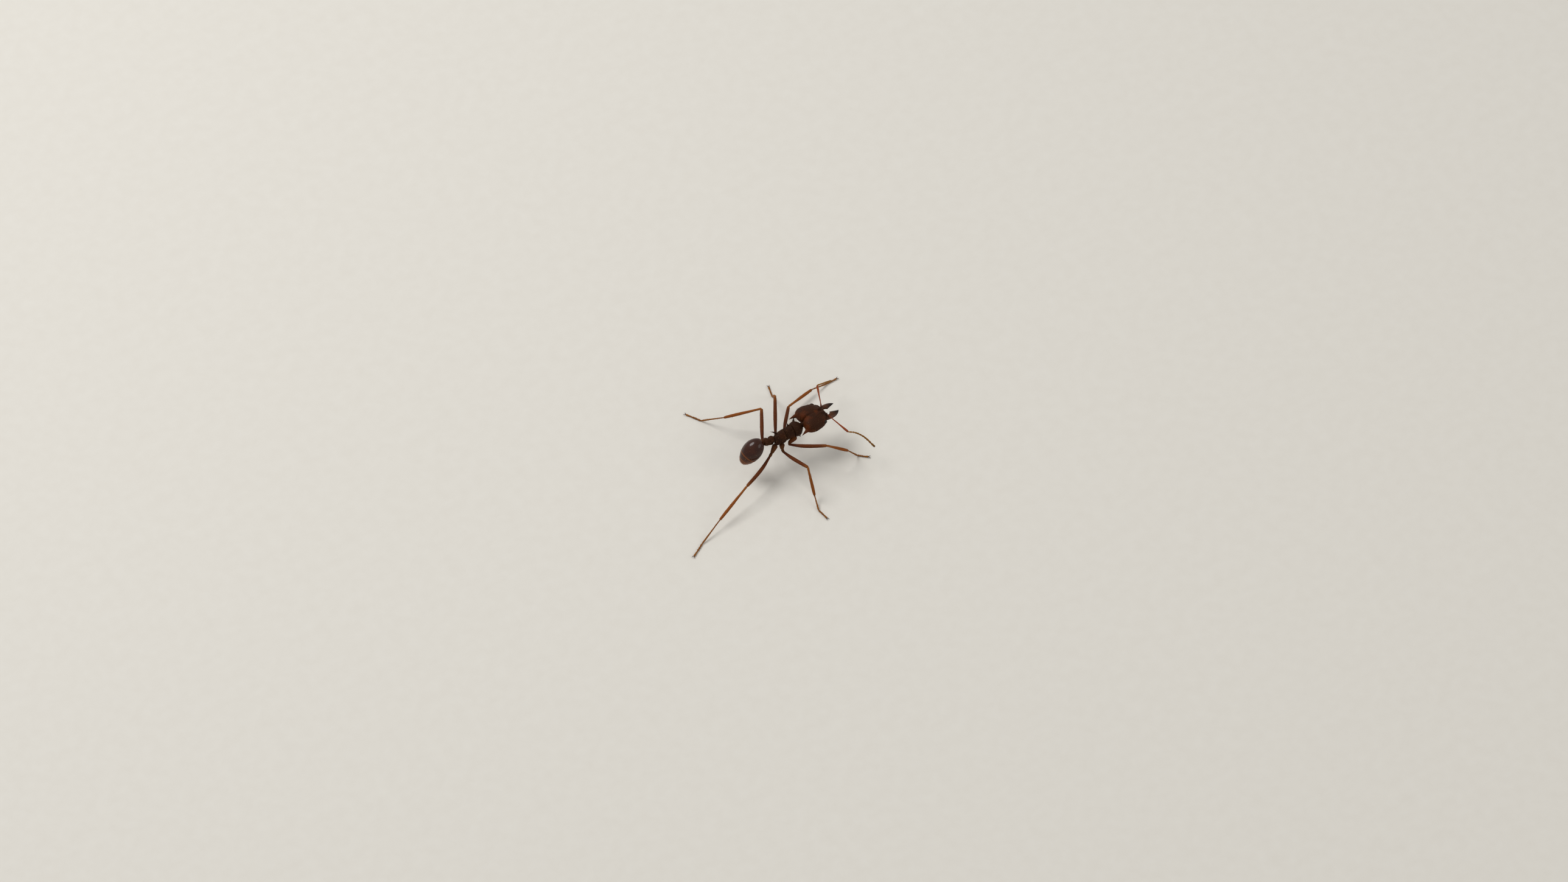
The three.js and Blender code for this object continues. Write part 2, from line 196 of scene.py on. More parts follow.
class Path:
    """A smooth line through a few points, with a sideways and an upward direction everywhere."""

    def __init__(self, points):
        dense = smooth_through(np.asarray(points, float), np.linspace(0, 1, PATH_POINTS))
        steps = np.linalg.norm(np.diff(dense, axis=0), axis=1)
        self.points = dense
        self.along = np.concatenate([[0], np.cumsum(steps)])
        self.length = self.along[-1]

    def at(self, t):
        reach = np.asarray(t, float) * self.length
        return np.stack([np.interp(reach, self.along, self.points[:, k]) for k in range(3)], axis=-1)

    def directions(self, t):
        """The ways ahead, sideways and up at each t."""
        ahead = self.at(np.minimum(t + GLANCE, 1)) - self.at(np.maximum(t - GLANCE, 0))
        ahead /= np.linalg.norm(ahead, axis=-1, keepdims=True)
        steep = np.abs(ahead[..., 2:]) > STEEP
        upright = np.where(steep, [1.0, 0.0, 0.0], [0.0, 0.0, 1.0])
        side = np.cross(upright, ahead)
        side /= np.linalg.norm(side, axis=-1, keepdims=True)
        return ahead, side, np.cross(ahead, side)


# %% A tube along a path
SHARPEST_END = 0.01  # the shortest length over which a tube's end is rounded off


def tube(path, radii, start=0.0, end=1.0, flat=1.0, sides=20, count=36):
    """A closed tube with round ends along part of a path; flat is its height over its width."""
    v = 0.5 - 0.5 * np.cos(np.linspace(0, np.pi, count))
    reach = (end - start) * path.length
    t = start + (end - start) * v
    radius = smooth_through(radii, v)
    from_start = np.clip(v * reach / max(radii[0], SHARPEST_END), 0, 1)
    from_end = np.clip((1 - v) * reach / max(radii[-1], SHARPEST_END), 0, 1)
    radius = radius * np.sqrt(1 - (1 - from_start) ** 2) * np.sqrt(1 - (1 - from_end) ** 2)
    _, side, up = path.directions(t)
    angle = np.linspace(0, 2 * np.pi, sides, endpoint=False)[:, None]
    turn = np.cos(angle)[None] * side[:, None] + flat * np.sin(angle)[None] * up[:, None]
    return closed_surface(path.at(t)[:, None] + radius[:, None, None] * turn)


# %% [markdown]
# ## A box of finishes
# The colours are brown horn over soft tissue: near black on the jaws, dark brown on the body and
# warm amber on the legs. Painting that by hand would take many nodes, so one small class lets us
# write shader maths as plain expressions. Wire wraps a socket, arithmetic on it adds Math nodes,
# and its node method makes any other node.


# %% Shader maths as expressions
class Wire:
    """A value, colour or vector on its way through a material's nodes."""

    def __init__(self, tree, socket=None):
        self.tree = tree
        self.socket = socket

    def node(self, kind, settings=None, values=None, out=0):
        """Any node: first its settings, then the values or the wires of its sockets."""
        made = self.tree.nodes.new(kind)
        for key, setting in (settings or {}).items():
            setattr(made, key, setting)
        for key, value in (values or {}).items():
            if isinstance(value, Wire):
                self.tree.links.new(value.socket, made.inputs[key])
            else:
                made.inputs[key].default_value = value
        return Wire(self.tree, made.outputs[out])

    def maths(self, operation, first, second):
        return self.node("ShaderNodeMath", {"operation": operation}, {0: first, 1: second})

    def __add__(self, other):
        return self.maths("ADD", self, other)

    __radd__ = __add__

    def __mul__(self, other):
        return self.maths("MULTIPLY", self, other)

    __rmul__ = __mul__

    def __sub__(self, other):
        return self.maths("SUBTRACT", self, other)

    def __rsub__(self, other):
        return self.maths("SUBTRACT", other, self)

    def step(self, low, high):
        """0 below low, 1 above high, and soft in between."""
        edges = {"Value": self, "From Min": low, "From Max": high}
        return self.node("ShaderNodeMapRange", {"interpolation_type": "SMOOTHSTEP"}, edges)


# %% Colours and how they mix
def colour(code):
    """A colour written as on the web, turned into the plain light values that shaders use."""
    parts = [int(code[i : i + 2], 16) / 255 for i in (0, 2, 4)]
    return tuple(p / 12.92 if p < 0.04045 else ((p + 0.055) / 1.055) ** 2.4 for p in parts) + (1.0,)


def blend(below, above, share):
    """One colour over another, by a share from 0 to 1; a Mix node's colours are sockets 6 and 7."""
    return share.node("ShaderNodeMix", {"data_type": "RGBA"}, {0: share, 6: below, 7: above}, 2)


# %% A new finish, and the patterns that feed it
def new_finish(name, fixed):
    """A material whose fixed values go straight on the shader, and a wire of places in millimetres."""
    material = bpy.data.materials.new(name)
    material.use_nodes = True
    shader = material.node_tree.nodes["Principled BSDF"]
    for key, value in fixed.items():
        shader.inputs[key].default_value = value
    place = Wire(material.node_tree).node("ShaderNodeTexCoord", out="Object")
    in_mm = place.node("ShaderNodeVectorMath", {"operation": "SCALE"}, {0: place, "Scale": 1 / MM})
    return material, shader, in_mm


def feed(shader, wires):
    for key, wire in wires.items():
        wire.tree.links.new(wire.socket, shader.inputs[key])


def noise(place, per_mm, detail):
    values = {"Vector": place, "Scale": per_mm, "Detail": detail}
    return place.node("ShaderNodeTexNoise", None, values)


def cells(place, per_mm, feature="F1"):
    values = {"Vector": place, "Scale": per_mm}
    return place.node("ShaderNodeTexVoronoi", {"feature": feature}, values)


def axis_of(place, letter):
    return place.node("ShaderNodeSeparateXYZ", None, {0: place}, letter)


def bump(height, depth):
    """A relief whose full height is depth, in millimetres."""
    values = {"Height": height, "Distance": depth * MM, "Strength": 1.0}
    return height.node("ShaderNodeBump", None, values)


# %% [markdown]
# ## The horn of head, thorax and waist
# Under a lens the head and thorax of this ant are dull, because a fine net of ridges covers
# them. A Voronoi pattern makes that net as relief and paints shade into its grooves, finer noise
# wrinkles it, and a slow noise lets redder horn show through where the shell is thin. The back of
# the head is painted redder still, as painted light that shines through its thin shell from behind,
# and the waist is redder too. Only colour, roughness and relief vary over the surface.

# %% Netted horn
NET_PER_MM, WRINKLES_PER_MM, PATCHES_PER_MM = 24.0, 9.0, 1.3
# the colour of painted shade in the grooves of the net
NET_GROOVE_SHADE = colour("160a03")
BACKLIGHT_FADE = 0.35  # half the length over which the painted backlight on the back of the head fades in


def netted_horn(name, dark, red, roughness, net_depth, backlit_behind=None):
    material, shader, place = new_finish(name, {"Specular IOR Level": 0.13})
    patches = noise(place, PATCHES_PER_MM, detail=4.0).step(0.42, 0.7) * 0.7
    if backlit_behind is not None:
        # the back of the head is painted redder, as painted light shining through its thin shell from behind
        ahead_of_backlight = axis_of(place, "X").step(backlit_behind - BACKLIGHT_FADE, backlit_behind + BACKLIGHT_FADE)
        patches = patches + (1 - ahead_of_backlight) * 0.8
    meshes = cells(place, NET_PER_MM, "DISTANCE_TO_EDGE").step(0.0, 0.22)
    wrinkles = noise(place, WRINKLES_PER_MM, detail=5.0)
    horn = blend(dark, red, patches.step(0.0, 1.0))
    feed(
        shader,
        {
            # the grooves of the net are darkened with painted shade
            "Base Color": blend(NET_GROOVE_SHADE, horn, meshes * 0.3 + 0.7),
            "Roughness": roughness + (1 - meshes) * 0.12,
            "Normal": bump(meshes * 0.7 + wrinkles * 0.8, net_depth),
        },
    )
    return material


# %% Three netted horns
BACKLIGHT_START = ORIGIN[0] + 1.55  # where the painted backlight on the back of the head begins
HEAD_HORN = netted_horn(
    "head_horn", colour("381a06"), colour("5a2604"), roughness=0.54, net_depth=0.006, backlit_behind=BACKLIGHT_START
)
THORAX_HORN = netted_horn(
    "thorax_horn", colour("321806"), colour("462008"), roughness=0.62, net_depth=0.009
)
WAIST_HORN = netted_horn(
    "waist_horn", colour("40200a"), colour("562a0c"), roughness=0.6, net_depth=0.009
)
print("made", HEAD_HORN.name, THORAX_HORN.name, "and", WAIST_HORN.name)

# %% [markdown]
# ## The polished gaster
# The gaster hangs from the waist at a slope, so its sizes and its own three directions come
# first. Its plates are smooth and shine like dark glass, with soft skin where one plate slides
# under the next. A thin coat over dark brown horn gives the sharp highlight, and very shallow
# relief keeps it from looking like plastic. The horn reddens towards the belly and the tip, and
# it is thin and paler along the rear edge of each plate.

# %% Driving sizes of the gaster
GASTER_PLACE = middle_mm("gaster_front", "gaster_middle", "gaster_tip")
GASTER_LENGTH, GASTER_WIDTH, GASTER_HEIGHT = 2.7, 1.71, 1.67
GASTER_DROOP, GASTER_SWING = np.radians(43), np.radians(3)
GASTER_AHEAD = np.array([
    -np.cos(GASTER_DROOP) * np.cos(GASTER_SWING),
    np.cos(GASTER_DROOP) * np.sin(GASTER_SWING),
    -np.sin(GASTER_DROOP),
])
GASTER_SIDE = np.cross([0.0, 0.0, 1.0], GASTER_AHEAD) / np.cos(GASTER_DROOP)
GASTER_UP = np.cross(GASTER_AHEAD, GASTER_SIDE)
GASTER_CENTRE = GASTER_PLACE - ORIGIN
GASTER_MOUTH = GASTER_CENTRE - GASTER_AHEAD * GASTER_LENGTH * 0.46  # where the waist joins it
print("the gaster hangs around", GASTER_CENTRE.round(2), "mm from the ant's origin")

# %% Where the gaster's plates start and end, from -1 at the waist to 1 at the tip
BACK_PLATES = ((-0.985, 0.36), (0.3, 0.74), (0.7, 0.91), (0.88, 0.985))
BELLY_PLATES = ((-0.9, 0.42), (0.38, 0.78), (0.74, 0.95))


# %% Polished horn
GASTER_BROWN, GASTER_RED, PLATE_RIM = colour("321407"), colour("70340a"), colour("8a4a14")
BELLY_LEVEL, BACK_LEVEL = 1.7, 2.75  # the heights over the floor between which the horn reddens
RIM_START, RIM_FULL = 0.1, 0.01  # how far before a plate's edge its pale rim starts, and is full
RIM_END = 0.03  # how far behind the edge it has faded out


def polished_horn():
    material, shader, place = new_finish("gaster_horn", {"Coat Roughness": 0.07, "Specular IOR Level": 0.1})
    dot = {0: place, 1: tuple(GASTER_AHEAD)}
    reach = place.node("ShaderNodeVectorMath", {"operation": "DOT_PRODUCT"}, dot, "Value")
    along = (reach - float(GASTER_PLACE @ GASTER_AHEAD)) * (2 / GASTER_LENGTH)
    rims = 0
    for _, end in BACK_PLATES[:3]:
        rim = along.step(end - RIM_START, end - RIM_FULL) * (1 - along.step(end, end + RIM_END))
        rims = rim + rims
    low = 1 - axis_of(place, "Z").step(BELLY_LEVEL, BACK_LEVEL)
    patches = noise(place, per_mm=1.1, detail=3.0).step(0.4, 0.75)
    horn = blend(GASTER_BROWN, GASTER_RED, (patches * 0.25 + low * 0.95).step(0.0, 1.1))
    grain = cells(place, per_mm=30.0).step(0.0, 0.6) * 0.3 + noise(place, per_mm=6.0, detail=4.0)
    feed(
        shader,
        {
            "Base Color": blend(horn, PLATE_RIM, rims * 0.7),
            "Roughness": 0.3 + patches * 0.08,
            "Coat Weight": 0.45 - low * 0.3,
            "Normal": bump(grain, 0.0015),
        },
    )
    return material


# %% Soft skin
def soft_skin():
    material, shader, place = new_finish("soft_skin", {"Specular IOR Level": 0.4})
    folds = noise(place, per_mm=14.0, detail=4.0)
    feed(
        shader,
        {
            "Base Color": blend(colour("3e2410"), colour("6a4522"), folds.step(0.35, 0.7)),
            "Roughness": 0.5 + folds * 0.2,
            "Normal": bump(folds, 0.01),
        },
    )
    return material


GASTER_HORN = polished_horn()
SOFT_SKIN = soft_skin()
print("made", GASTER_HORN.name, "and", SOFT_SKIN.name)

# %% [markdown]
# ## Amber legs and feelers
# Legs are thin tubes of clear horn, so they look amber: deep red-brown on the femora, lighter on
# the tibiae and palest on the feet. Every tube carries a UV map that runs along it, and the finish
# mixes a root, a middle and a tip colour along that map, which gives the pale knees. The feelers
# are yellow-brown and dull beyond a redder scape. The middle and hind hips are the darkest, partly
# as their own colour and partly as painted shade from the thorax above them.


# %% Amber horn, darker at its root and paler at its far end
def length_along(material):
    """How far along its limb a place lies, from 0 to 1, read from the UV map Length."""
    run = Wire(material.node_tree).node("ShaderNodeUVMap", {"uv_map": "Length"})
    return axis_of(run, "X")


def amber_horn(name, middle, root, tip, roughness):
    material, shader, place = new_finish(name, {"Specular IOR Level": 0.17})
    along = length_along(material)
    streaks = noise(place, per_mm=3.0, detail=4.0)
    pores = cells(place, per_mm=26.0).step(0.0, 0.5)
    rooted = blend(root, middle, along.step(-0.1, 0.45))
    amber = blend(rooted, tip, along.step(0.8, 1.0) * 0.8 + streaks.step(0.5, 0.8) * 0.2)
    feed(
        shader,
        {
            "Base Color": amber,
            "Roughness": roughness + streaks * 0.15,
            "Normal": bump(pores * 0.4 + streaks * 0.8, 0.003),
        },
    )
    return material


# %% One amber for each kind of limb
AMBER_COLOURS = {  # the middle, root and tip colour, and the roughness
    "femur": ("5a2804", "481c04", "7c4414", 0.6),
    "tibia": ("86460f", "8e5420", "7c400e", 0.6),
    "coxa": ("5c2c04", "542804", "4a2204", 0.6),
    # middle and hind hips: their own amber, deepened in part by painted shade from the thorax above
    "shade_darkened_coxa": ("522c0a", "3c1e08", "4e2608", 0.62),
    "foot": ("85501c", "7c4412", "966026", 0.62),
    "scape": ("8a3c14", "3c1a0c", "783212", 0.5),
    "feeler": ("8c5c1e", "966626", "5a441c", 0.62),
}
AMBER = {}
for limb, (*codes, roughness) in AMBER_COLOURS.items():
    AMBER[limb] = amber_horn(f"{limb}_horn", *map(colour, codes), roughness)
HIP_HORN = {"front": AMBER["coxa"], "middle": AMBER["shade_darkened_coxa"], "hind": AMBER["shade_darkened_coxa"]}
print("made", len(AMBER), "kinds of amber horn")

# %% [markdown]
# ## Jaws, eyes and bristles
# The jaws are the hardest horn of all: nearly black towards the tip, red-brown behind, and
# scored with fine lines. An eye is a dome of tiny lenses, which the mesh itself will carry, so
# its finish only needs a very dark brown with a soft shine. Bristles are golden brown.

# %% Scored horn
SCORES_STRETCH = (1.5, 16.0, 6.0)  # long and narrow, so that the noise becomes lines


def scored_horn():
    fixed = {"Coat Weight": 0.15, "Coat Roughness": 0.2, "Specular IOR Level": 0.22}
    material, shader, place = new_finish("jaw_horn", fixed)
    stretched = place.node("ShaderNodeMapping", None, {0: place, "Scale": SCORES_STRETCH})
    lines = noise(stretched, per_mm=1.6, detail=3.0)
    darkening = length_along(material).step(0.3, 0.85)
    feed(
        shader,
        {
            "Base Color": blend(colour("4c260a"), colour("1c0e05"), darkening),
            "Roughness": 0.26 + lines * 0.2,
            "Normal": bump(lines, 0.012),
        },
    )
    return material


JAW_HORN = scored_horn()
print("made", JAW_HORN.name)


# %% The horn of the lenses
def lens_horn():
    material, shader, place = new_finish("eye_lenses", {"Specular IOR Level": 0.2})
    tint = noise(place, per_mm=5.0, detail=2.0)
    feed(
        shader,
        {
            "Base Color": blend(colour("17110c"), colour("2e241a"), tint.step(0.35, 0.7)),
            "Roughness": 0.24 + tint * 0.15,
            "Normal": bump(tint, 0.002),
        },
    )
    return material


# %% The horn of the bristles
def bristle_horn():
    material, shader, place = new_finish("bristles", {"Specular IOR Level": 0.5})
    tint = noise(place, per_mm=2.5, detail=2.0)
    feed(
        shader,
        {
            "Base Color": blend(colour("6a431c"), colour("9a6c34"), tint.step(0.35, 0.65)),
            "Roughness": 0.35 + tint * 0.2,
        },
    )
    return material


LENS_HORN = lens_horn()
BRISTLES = bristle_horn()
print("made", len(bpy.data.materials), "materials in all")

# %% [markdown]
# ## Dressing a solid
# A finished mesh becomes a piece of the ant: it rides on the ant's one body, wears its finish,
# and hides the solid that it stands for. The ant doesn't move, so there is only that one body. A
# limb also gets a UV map, because its finish has to know how far along the limb it is. We find the
# map by unrolling the limb from its middle line, which works for any bend.


# %% Give a mesh its finish, its place on the ant and the solid that it stands for
def dress(name, mesh, finish, slot, *nodes):
    piece = settle(name, mesh)
    mesh.materials.append(finish)
    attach(piece, "root")
    if nodes:
        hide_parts(*nodes)
    return piece


# %% Read a mesh, and write a UV map on it
def corners_of(mesh):
    corners = np.empty(len(mesh.vertices) * 3)
    mesh.vertices.foreach_get("co", corners)
    return corners.reshape(-1, 3)


def triangles_of(mesh):
    mesh.calc_loop_triangles()
    triangles = np.empty(len(mesh.loop_triangles) * 3, int)
    mesh.loop_triangles.foreach_get("vertices", triangles)
    return triangles.reshape(-1, 3)


def write_map(mesh, name, places):
    """Adds a UV map that gives each corner of the mesh its own place on the map."""
    loops = np.empty(len(mesh.loops), int)
    mesh.loops.foreach_get("vertex_index", loops)
    mesh.uv_layers.new(name=name).data.foreach_set("uv", places[loops].ravel())


# %% Unroll a limb
def unrolled(path, places, count):
    """How far along a path and round it each place lies, from 0 to 1, and the way ahead there."""
    stations = np.linspace(0, 1, count)
    line = path.at(stations)
    nearest = np.linalg.norm(places[:, None] - line[None], axis=2).argmin(axis=1)
    ahead, side, up = path.directions(stations)
    away = places - line[nearest]
    turn = np.arctan2((away * up[nearest]).sum(axis=1), (away * side[nearest]).sum(axis=1))
    return stations[nearest], turn / (2 * np.pi) + 0.5, ahead[nearest]


def length_map(mesh, path):
    """Adds the UV map Length, along the path and round it."""
    along, around, _ = unrolled(path, corners_of(mesh), 60)
    write_map(mesh, "Length", np.stack([along, around], axis=1))


# %% [markdown]
# ## The head
# Seen from above, the head is a heart: it narrows at the mouth, swells behind the eyes and has a
# deep cleft where the neck enters. We bend a ball into that heart with nine reaches round the
# head, then press in a furrow and raise the lobes at its rear. Spines, the lobes and ridges that
# shelter the feelers, the rings round the eyes and the short turrets that hold the feelers are
# separate tubes that the remesh merges with it.

# %% Driving sizes of the head
HEAD_MIDDLE = np.array([2.55, middle_mm("head")[1] - ORIGIN[1], 3.2])
HEAD_PITCH = np.radians(4)
HEAD_REACH = (1.18, 1.19, 1.19, 1.28, 1.32, 1.46, 1.53, 1.25, 0.95)  # every 22.5 degrees from the mouth
HEAD_RISE, HEAD_DEPTH = 0.64, 0.6  # how far it reaches over and under its middle
HEAD_TAPER = 0.16  # how much flatter it gets with each millimetre ahead
PLAN_ROUNDNESS, SIDE_ROUNDNESS = 0.8, 0.9  # 1 is as round as a ball, and less is fuller
HEAD_RINGS, HEAD_SIDES = 90, 160
SOCKET = (1.12, 0.42, 0.16)  # where a feeler joins the head


def on_head(place, side=1):
    """A place on the head, from its middle, carried to the ant's own axes."""
    x, y, z = np.moveaxis(np.asarray(place, float), -1, 0)
    turned_x = x * np.cos(HEAD_PITCH) + z * np.sin(HEAD_PITCH)
    turned_z = z * np.cos(HEAD_PITCH) - x * np.sin(HEAD_PITCH)
    return np.stack([turned_x, side * y, turned_z], axis=-1) + HEAD_MIDDLE


print("the head's middle is", HEAD_MIDDLE.round(2), "mm from the ant's origin")

# %% Hills and grooves to press into the crown
REAR_LOBES = ((-0.75, 0.74), 0.42, 0.035)  # place, size and height
BROW_DIP = ((0.68, 0), 0.2, 0.09)
SOCKET_DIPS = ((1.0, 0.5), 0.13, 0.1)
LIP_DIP, LIP_HALF_WIDTH = ((1.0, 0), 0.05, 0.05), 0.4
FURROW = (0.07, (0.5, -0.9), 0.1)  # width, where it fades in, and depth
GUTTER = (0.05, (0.9, 0.2), 0.05)


def hill(x, y, place, size, height):
    """A soft round hill at a place on a plan."""
    return np.exp(-(((x - place[0]) / size) ** 2) - ((y - place[1]) / size) ** 2) * height


def groove(x, y, width, fade, depth):
    """A groove down the middle of a plan, which fades in from one place to another."""
    return np.exp(-((y / width) ** 2)) * soft_step(*fade, x) * depth


# %% Bend a ball into a heart
def heart():
    v = np.linspace(-0.5, 0.5, HEAD_RINGS)[:, None] * np.pi
    u = np.linspace(0, 2 * np.pi, HEAD_SIDES, endpoint=False)[None]
    turn = np.abs((u + np.pi) % (2 * np.pi) - np.pi) / np.pi
    reach = smooth_through(HEAD_REACH, turn) * np.cos(v) ** PLAN_ROUNDNESS
    x, y = reach * np.cos(u), reach * np.sin(u)
    above = np.sin(v) > 0
    thickness = np.where(above, HEAD_RISE, HEAD_DEPTH) * (1 - HEAD_TAPER * x)
    z = np.sign(np.sin(v)) * np.abs(np.sin(v)) ** SIDE_ROUNDNESS * thickness
    lip = hill(x, 0 * y, *LIP_DIP) * np.exp(-((y / LIP_HALF_WIDTH) ** 4))
    crown = z - groove(x, y, *FURROW) + hill(x, np.abs(y), *REAR_LOBES) - hill(x, y, *BROW_DIP)
    crown = crown - hill(x, np.abs(y), *SOCKET_DIPS) - lip
    z = np.where(above, crown, z + groove(x, y, *GUTTER))
    return closed_surface(on_head(np.stack([x, y, z], axis=-1)))


# %% Thorns and rings
THORN_TAPER = (1.0, 0.72, 0.5, 0.33, 0.18)  # thickness from foot to point, as shares of the foot's
THORN_POINT = 0.012
NEAR_FOOT, NEAR_POINT = 0.45, 0.55  # the shares of foot and point in the place of its middle
THORN_BEND = np.array([0, 0, 0.04])  # how far the middle lies off the straight line


def thorn(base, tip, radius, sides=16):
    """A curved spine with a flared foot."""
    middle = (np.asarray(base) * NEAR_FOOT + np.asarray(tip) * NEAR_POINT) + THORN_BEND
    profile = [radius * share for share in THORN_TAPER] + [THORN_POINT]
    return tube(Path([base, middle, tip]), profile, sides=sides, count=30)


def ring(middle, facing, radius, thickness):
    """A thin ring round a place; it runs on past a full turn, so that its ends overlap."""
    facing = np.asarray(facing, float) / np.linalg.norm(facing)
    side = np.cross([0, 0, 1], facing)
    side /= np.linalg.norm(side)
    up = np.cross(facing, side)
    turn = np.linspace(0, 2 * np.pi * 1.04, 28)[:, None]
    circle = middle + radius * (np.cos(turn) * side + np.sin(turn) * up)
    return tube(Path(circle), [thickness, thickness], sides=8, count=44)


# %% Spines, ridges and rims of the left half of the head
HEAD_SPINES = (  # foot, point and radius
    ((-0.9, 0.87, -0.03), (-1.72, 1.035, -0.29), 0.29),
    ((-0.5, 1.2, 0.1), (-0.72, 1.47, 0.14), 0.07),
)
HEAD_RIDGES = (  # the line, the radii along it, and its height over its width
    (((0.35, 0.15, 0.46), (0.72, 0.24, 0.5), (1.02, 0.31, 0.36)), (0.04, 0.1, 0.12, 0.08), 0.7),
    (((0.5, 0.22, 0.52), (0.1, 0.42, 0.6), (-0.25, 0.5, 0.63)), (0.05, 0.045, 0.02), 1.0),
    (((0.8, 0.96, 0.12), (1.0, 0.72, 0.1), (1.1, 0.5, 0.02)), (0.03, 0.06, 0.04), 1.0),
)
HEAD_RIMS = (  # middle, facing, radius and thickness
    ((0.55, 1.03, 0.12), (0.3, 1, 0.1), 0.2, 0.035),
    (SOCKET, (0.5, 0.9, 0.25), 0.1, 0.025),
)
TURRET_LINE = np.add(SOCKET, ((-0.2, -0.14, -0.12), (0.03, 0.045, 0.02)))
TURRET_RADII = (0.13, 0.12, 0.115)
print(len(HEAD_SPINES), "spines and", len(HEAD_RIDGES), "ridges on each half")


# %% Merge the heart with what grows on it
def head_surfaces():
    surfaces = [heart()]
    for side in SIDES.values():
        for base, tip, radius in HEAD_SPINES:
            surfaces.append(thorn(on_head(base, side), on_head(tip, side), radius))
        for line, radii, flat in HEAD_RIDGES:
            surfaces.append(tube(Path(on_head(line, side)), radii, flat=flat))
        for middle, facing, radius, thickness in HEAD_RIMS:
            surfaces.append(ring(on_head(middle, side), mirrored(facing, side), radius, thickness))
        surfaces.append(tube(Path(on_head(TURRET_LINE, side)), TURRET_RADII))
    return surfaces


head = dress("head_shell", merged_mesh("head_shell", head_surfaces()), HEAD_HORN, "head_shell", "head")
print("head shell:", len(head.data.polygons), "faces")

# %% [markdown]
# ## Eyes made of lenses
# Each eye is a low dome of several hundred lenses. A spiral that steps by the golden angle
# spreads lens centres evenly over a ball, which is how seeds pack in a sunflower. Every corner of
# a fine ball is then raised by how near it lies to the closest lens centre.

# %% Driving sizes of an eye
EYE_PLACE = (0.56, 1.05, 0.12)
EYE_SIZE = (0.2, 0.145, 0.18)  # half its length, its bulge and half its height
EYE_TURN = np.radians(-22)  # how far it looks ahead of straight sideways
LENSES = 420
LENS_BULGE = 0.035
EYE_RINGS, EYE_SIDES = 110, 180


def globe(rows, columns):
    """The points of a ball of radius 1, in rings from pole to pole."""
    v = np.linspace(0, np.pi, rows)[:, None]
    u = np.linspace(0, 2 * np.pi, columns, endpoint=False)[None]
    return np.stack([np.sin(v) * np.cos(u), np.sin(v) * np.sin(u), np.cos(v) + 0 * u], axis=-1)


def turned(x, y, angle):
    """A plan turned by an angle."""
    return x * np.cos(angle) - y * np.sin(angle), x * np.sin(angle) + y * np.cos(angle)


# %% A faceted dome
def lens_centres():
    k = np.arange(LENSES)
    z = 1 - (2 * k + 1) / LENSES
    angle = k * np.pi * (3 - np.sqrt(5))
    level = np.sqrt(1 - z * z)
    return np.stack([level * np.cos(angle), level * np.sin(angle), z], axis=-1)


def lens_dome(side):
    eyeball = globe(EYE_RINGS, EYE_SIDES)
    nearest = (eyeball.reshape(-1, 3) @ lens_centres().T).max(axis=1).reshape(eyeball.shape[:2])
    lens = np.sqrt(np.clip(2 - 2 * nearest, 0, None)) / (2 / np.sqrt(LENSES))
    dome = eyeball * (1 + LENS_BULGE * (1 - np.clip(lens, 0, 1.1) ** 2))[..., None] * EYE_SIZE
    x, y = turned(dome[..., 0], dome[..., 1], side * EYE_TURN)
    lenses = np.stack([x, y, dome[..., 2]], axis=-1) + mirrored(EYE_PLACE, side)
    return closed_surface(on_head(lenses))


for name, side in SIDES.items():
    eye = mesh_mm(f"eye_{name}_lenses", [lens_dome(side)])
    dress(f"eye_{name}_lenses", eye, LENS_HORN, "eye", f"eye_{name}")
print("each eye has", LENSES, "lens centres")

# %% [markdown]
# ## Jaws
# A leafcutter's jaw is a curved blade that works like a saw. Its outer edge is one long bow, and
# its inner edge carries a row of teeth that grow towards the point. We draw both edges as curves
# and lay a lens-shaped section between them, thick at the hinge and thin along the teeth. The
# notches between the teeth fade out just behind that thin edge, so the blade itself stays smooth.

# %% Driving sizes of a jaw
JAW_HINGE = np.array([1.04, 0.58, -0.2])
JAW_LENGTH = 1.23
JAW_TILT, JAW_OPEN = np.radians(-12), np.radians(14)
JAW_TIP, JAW_HEEL = (JAW_LENGTH, -0.49), (JAW_LENGTH * 0.35, -0.53)  # the ends of the toothed edge
JAW_OUTER_EDGE = ((-0.2, 0.17), (JAW_LENGTH * 0.8, 0.2), JAW_TIP)  # its start, bend and end
JAW_INNER_EDGE = ((-0.2, -0.24), (JAW_LENGTH * 0.3, -0.22), JAW_HEEL)
JAW_THICKNESS = (0.19, 0.18, 0.14, 0.11, 0.08, 0.03)
HINGE_ROUNDING = 0.08  # the share of the blade over which its root is rounded
BLADE_ROUNDNESS = 0.3  # the higher, the sharper the edges of its section
JAW_RINGS, JAW_SIDES = 260, 36

# %% Driving sizes of the teeth
JAW_TEETH = 8
TOOTH_START = 0.36  # how far along the blade the teeth begin
TOOTH_PEAK = 0.35  # how far along itself a tooth is highest
TOOTH_DEPTH, TOOTH_GROWTH = 0.1, 0.07  # the first tooth's depth, and what the last one has more
TOOTH_RISE = 0.045  # how far the points stand out over the edge
THIN_EDGE = 6  # the higher, the closer the notches keep to the thin edge


def bow(start, bend, end, t):
    """A curve from start to end that leans towards bend."""
    t = np.asarray(t)[:, None]
    return (1 - t) ** 2 * np.array(start) + 2 * t * (1 - t) * np.array(bend) + t**2 * np.array(end)


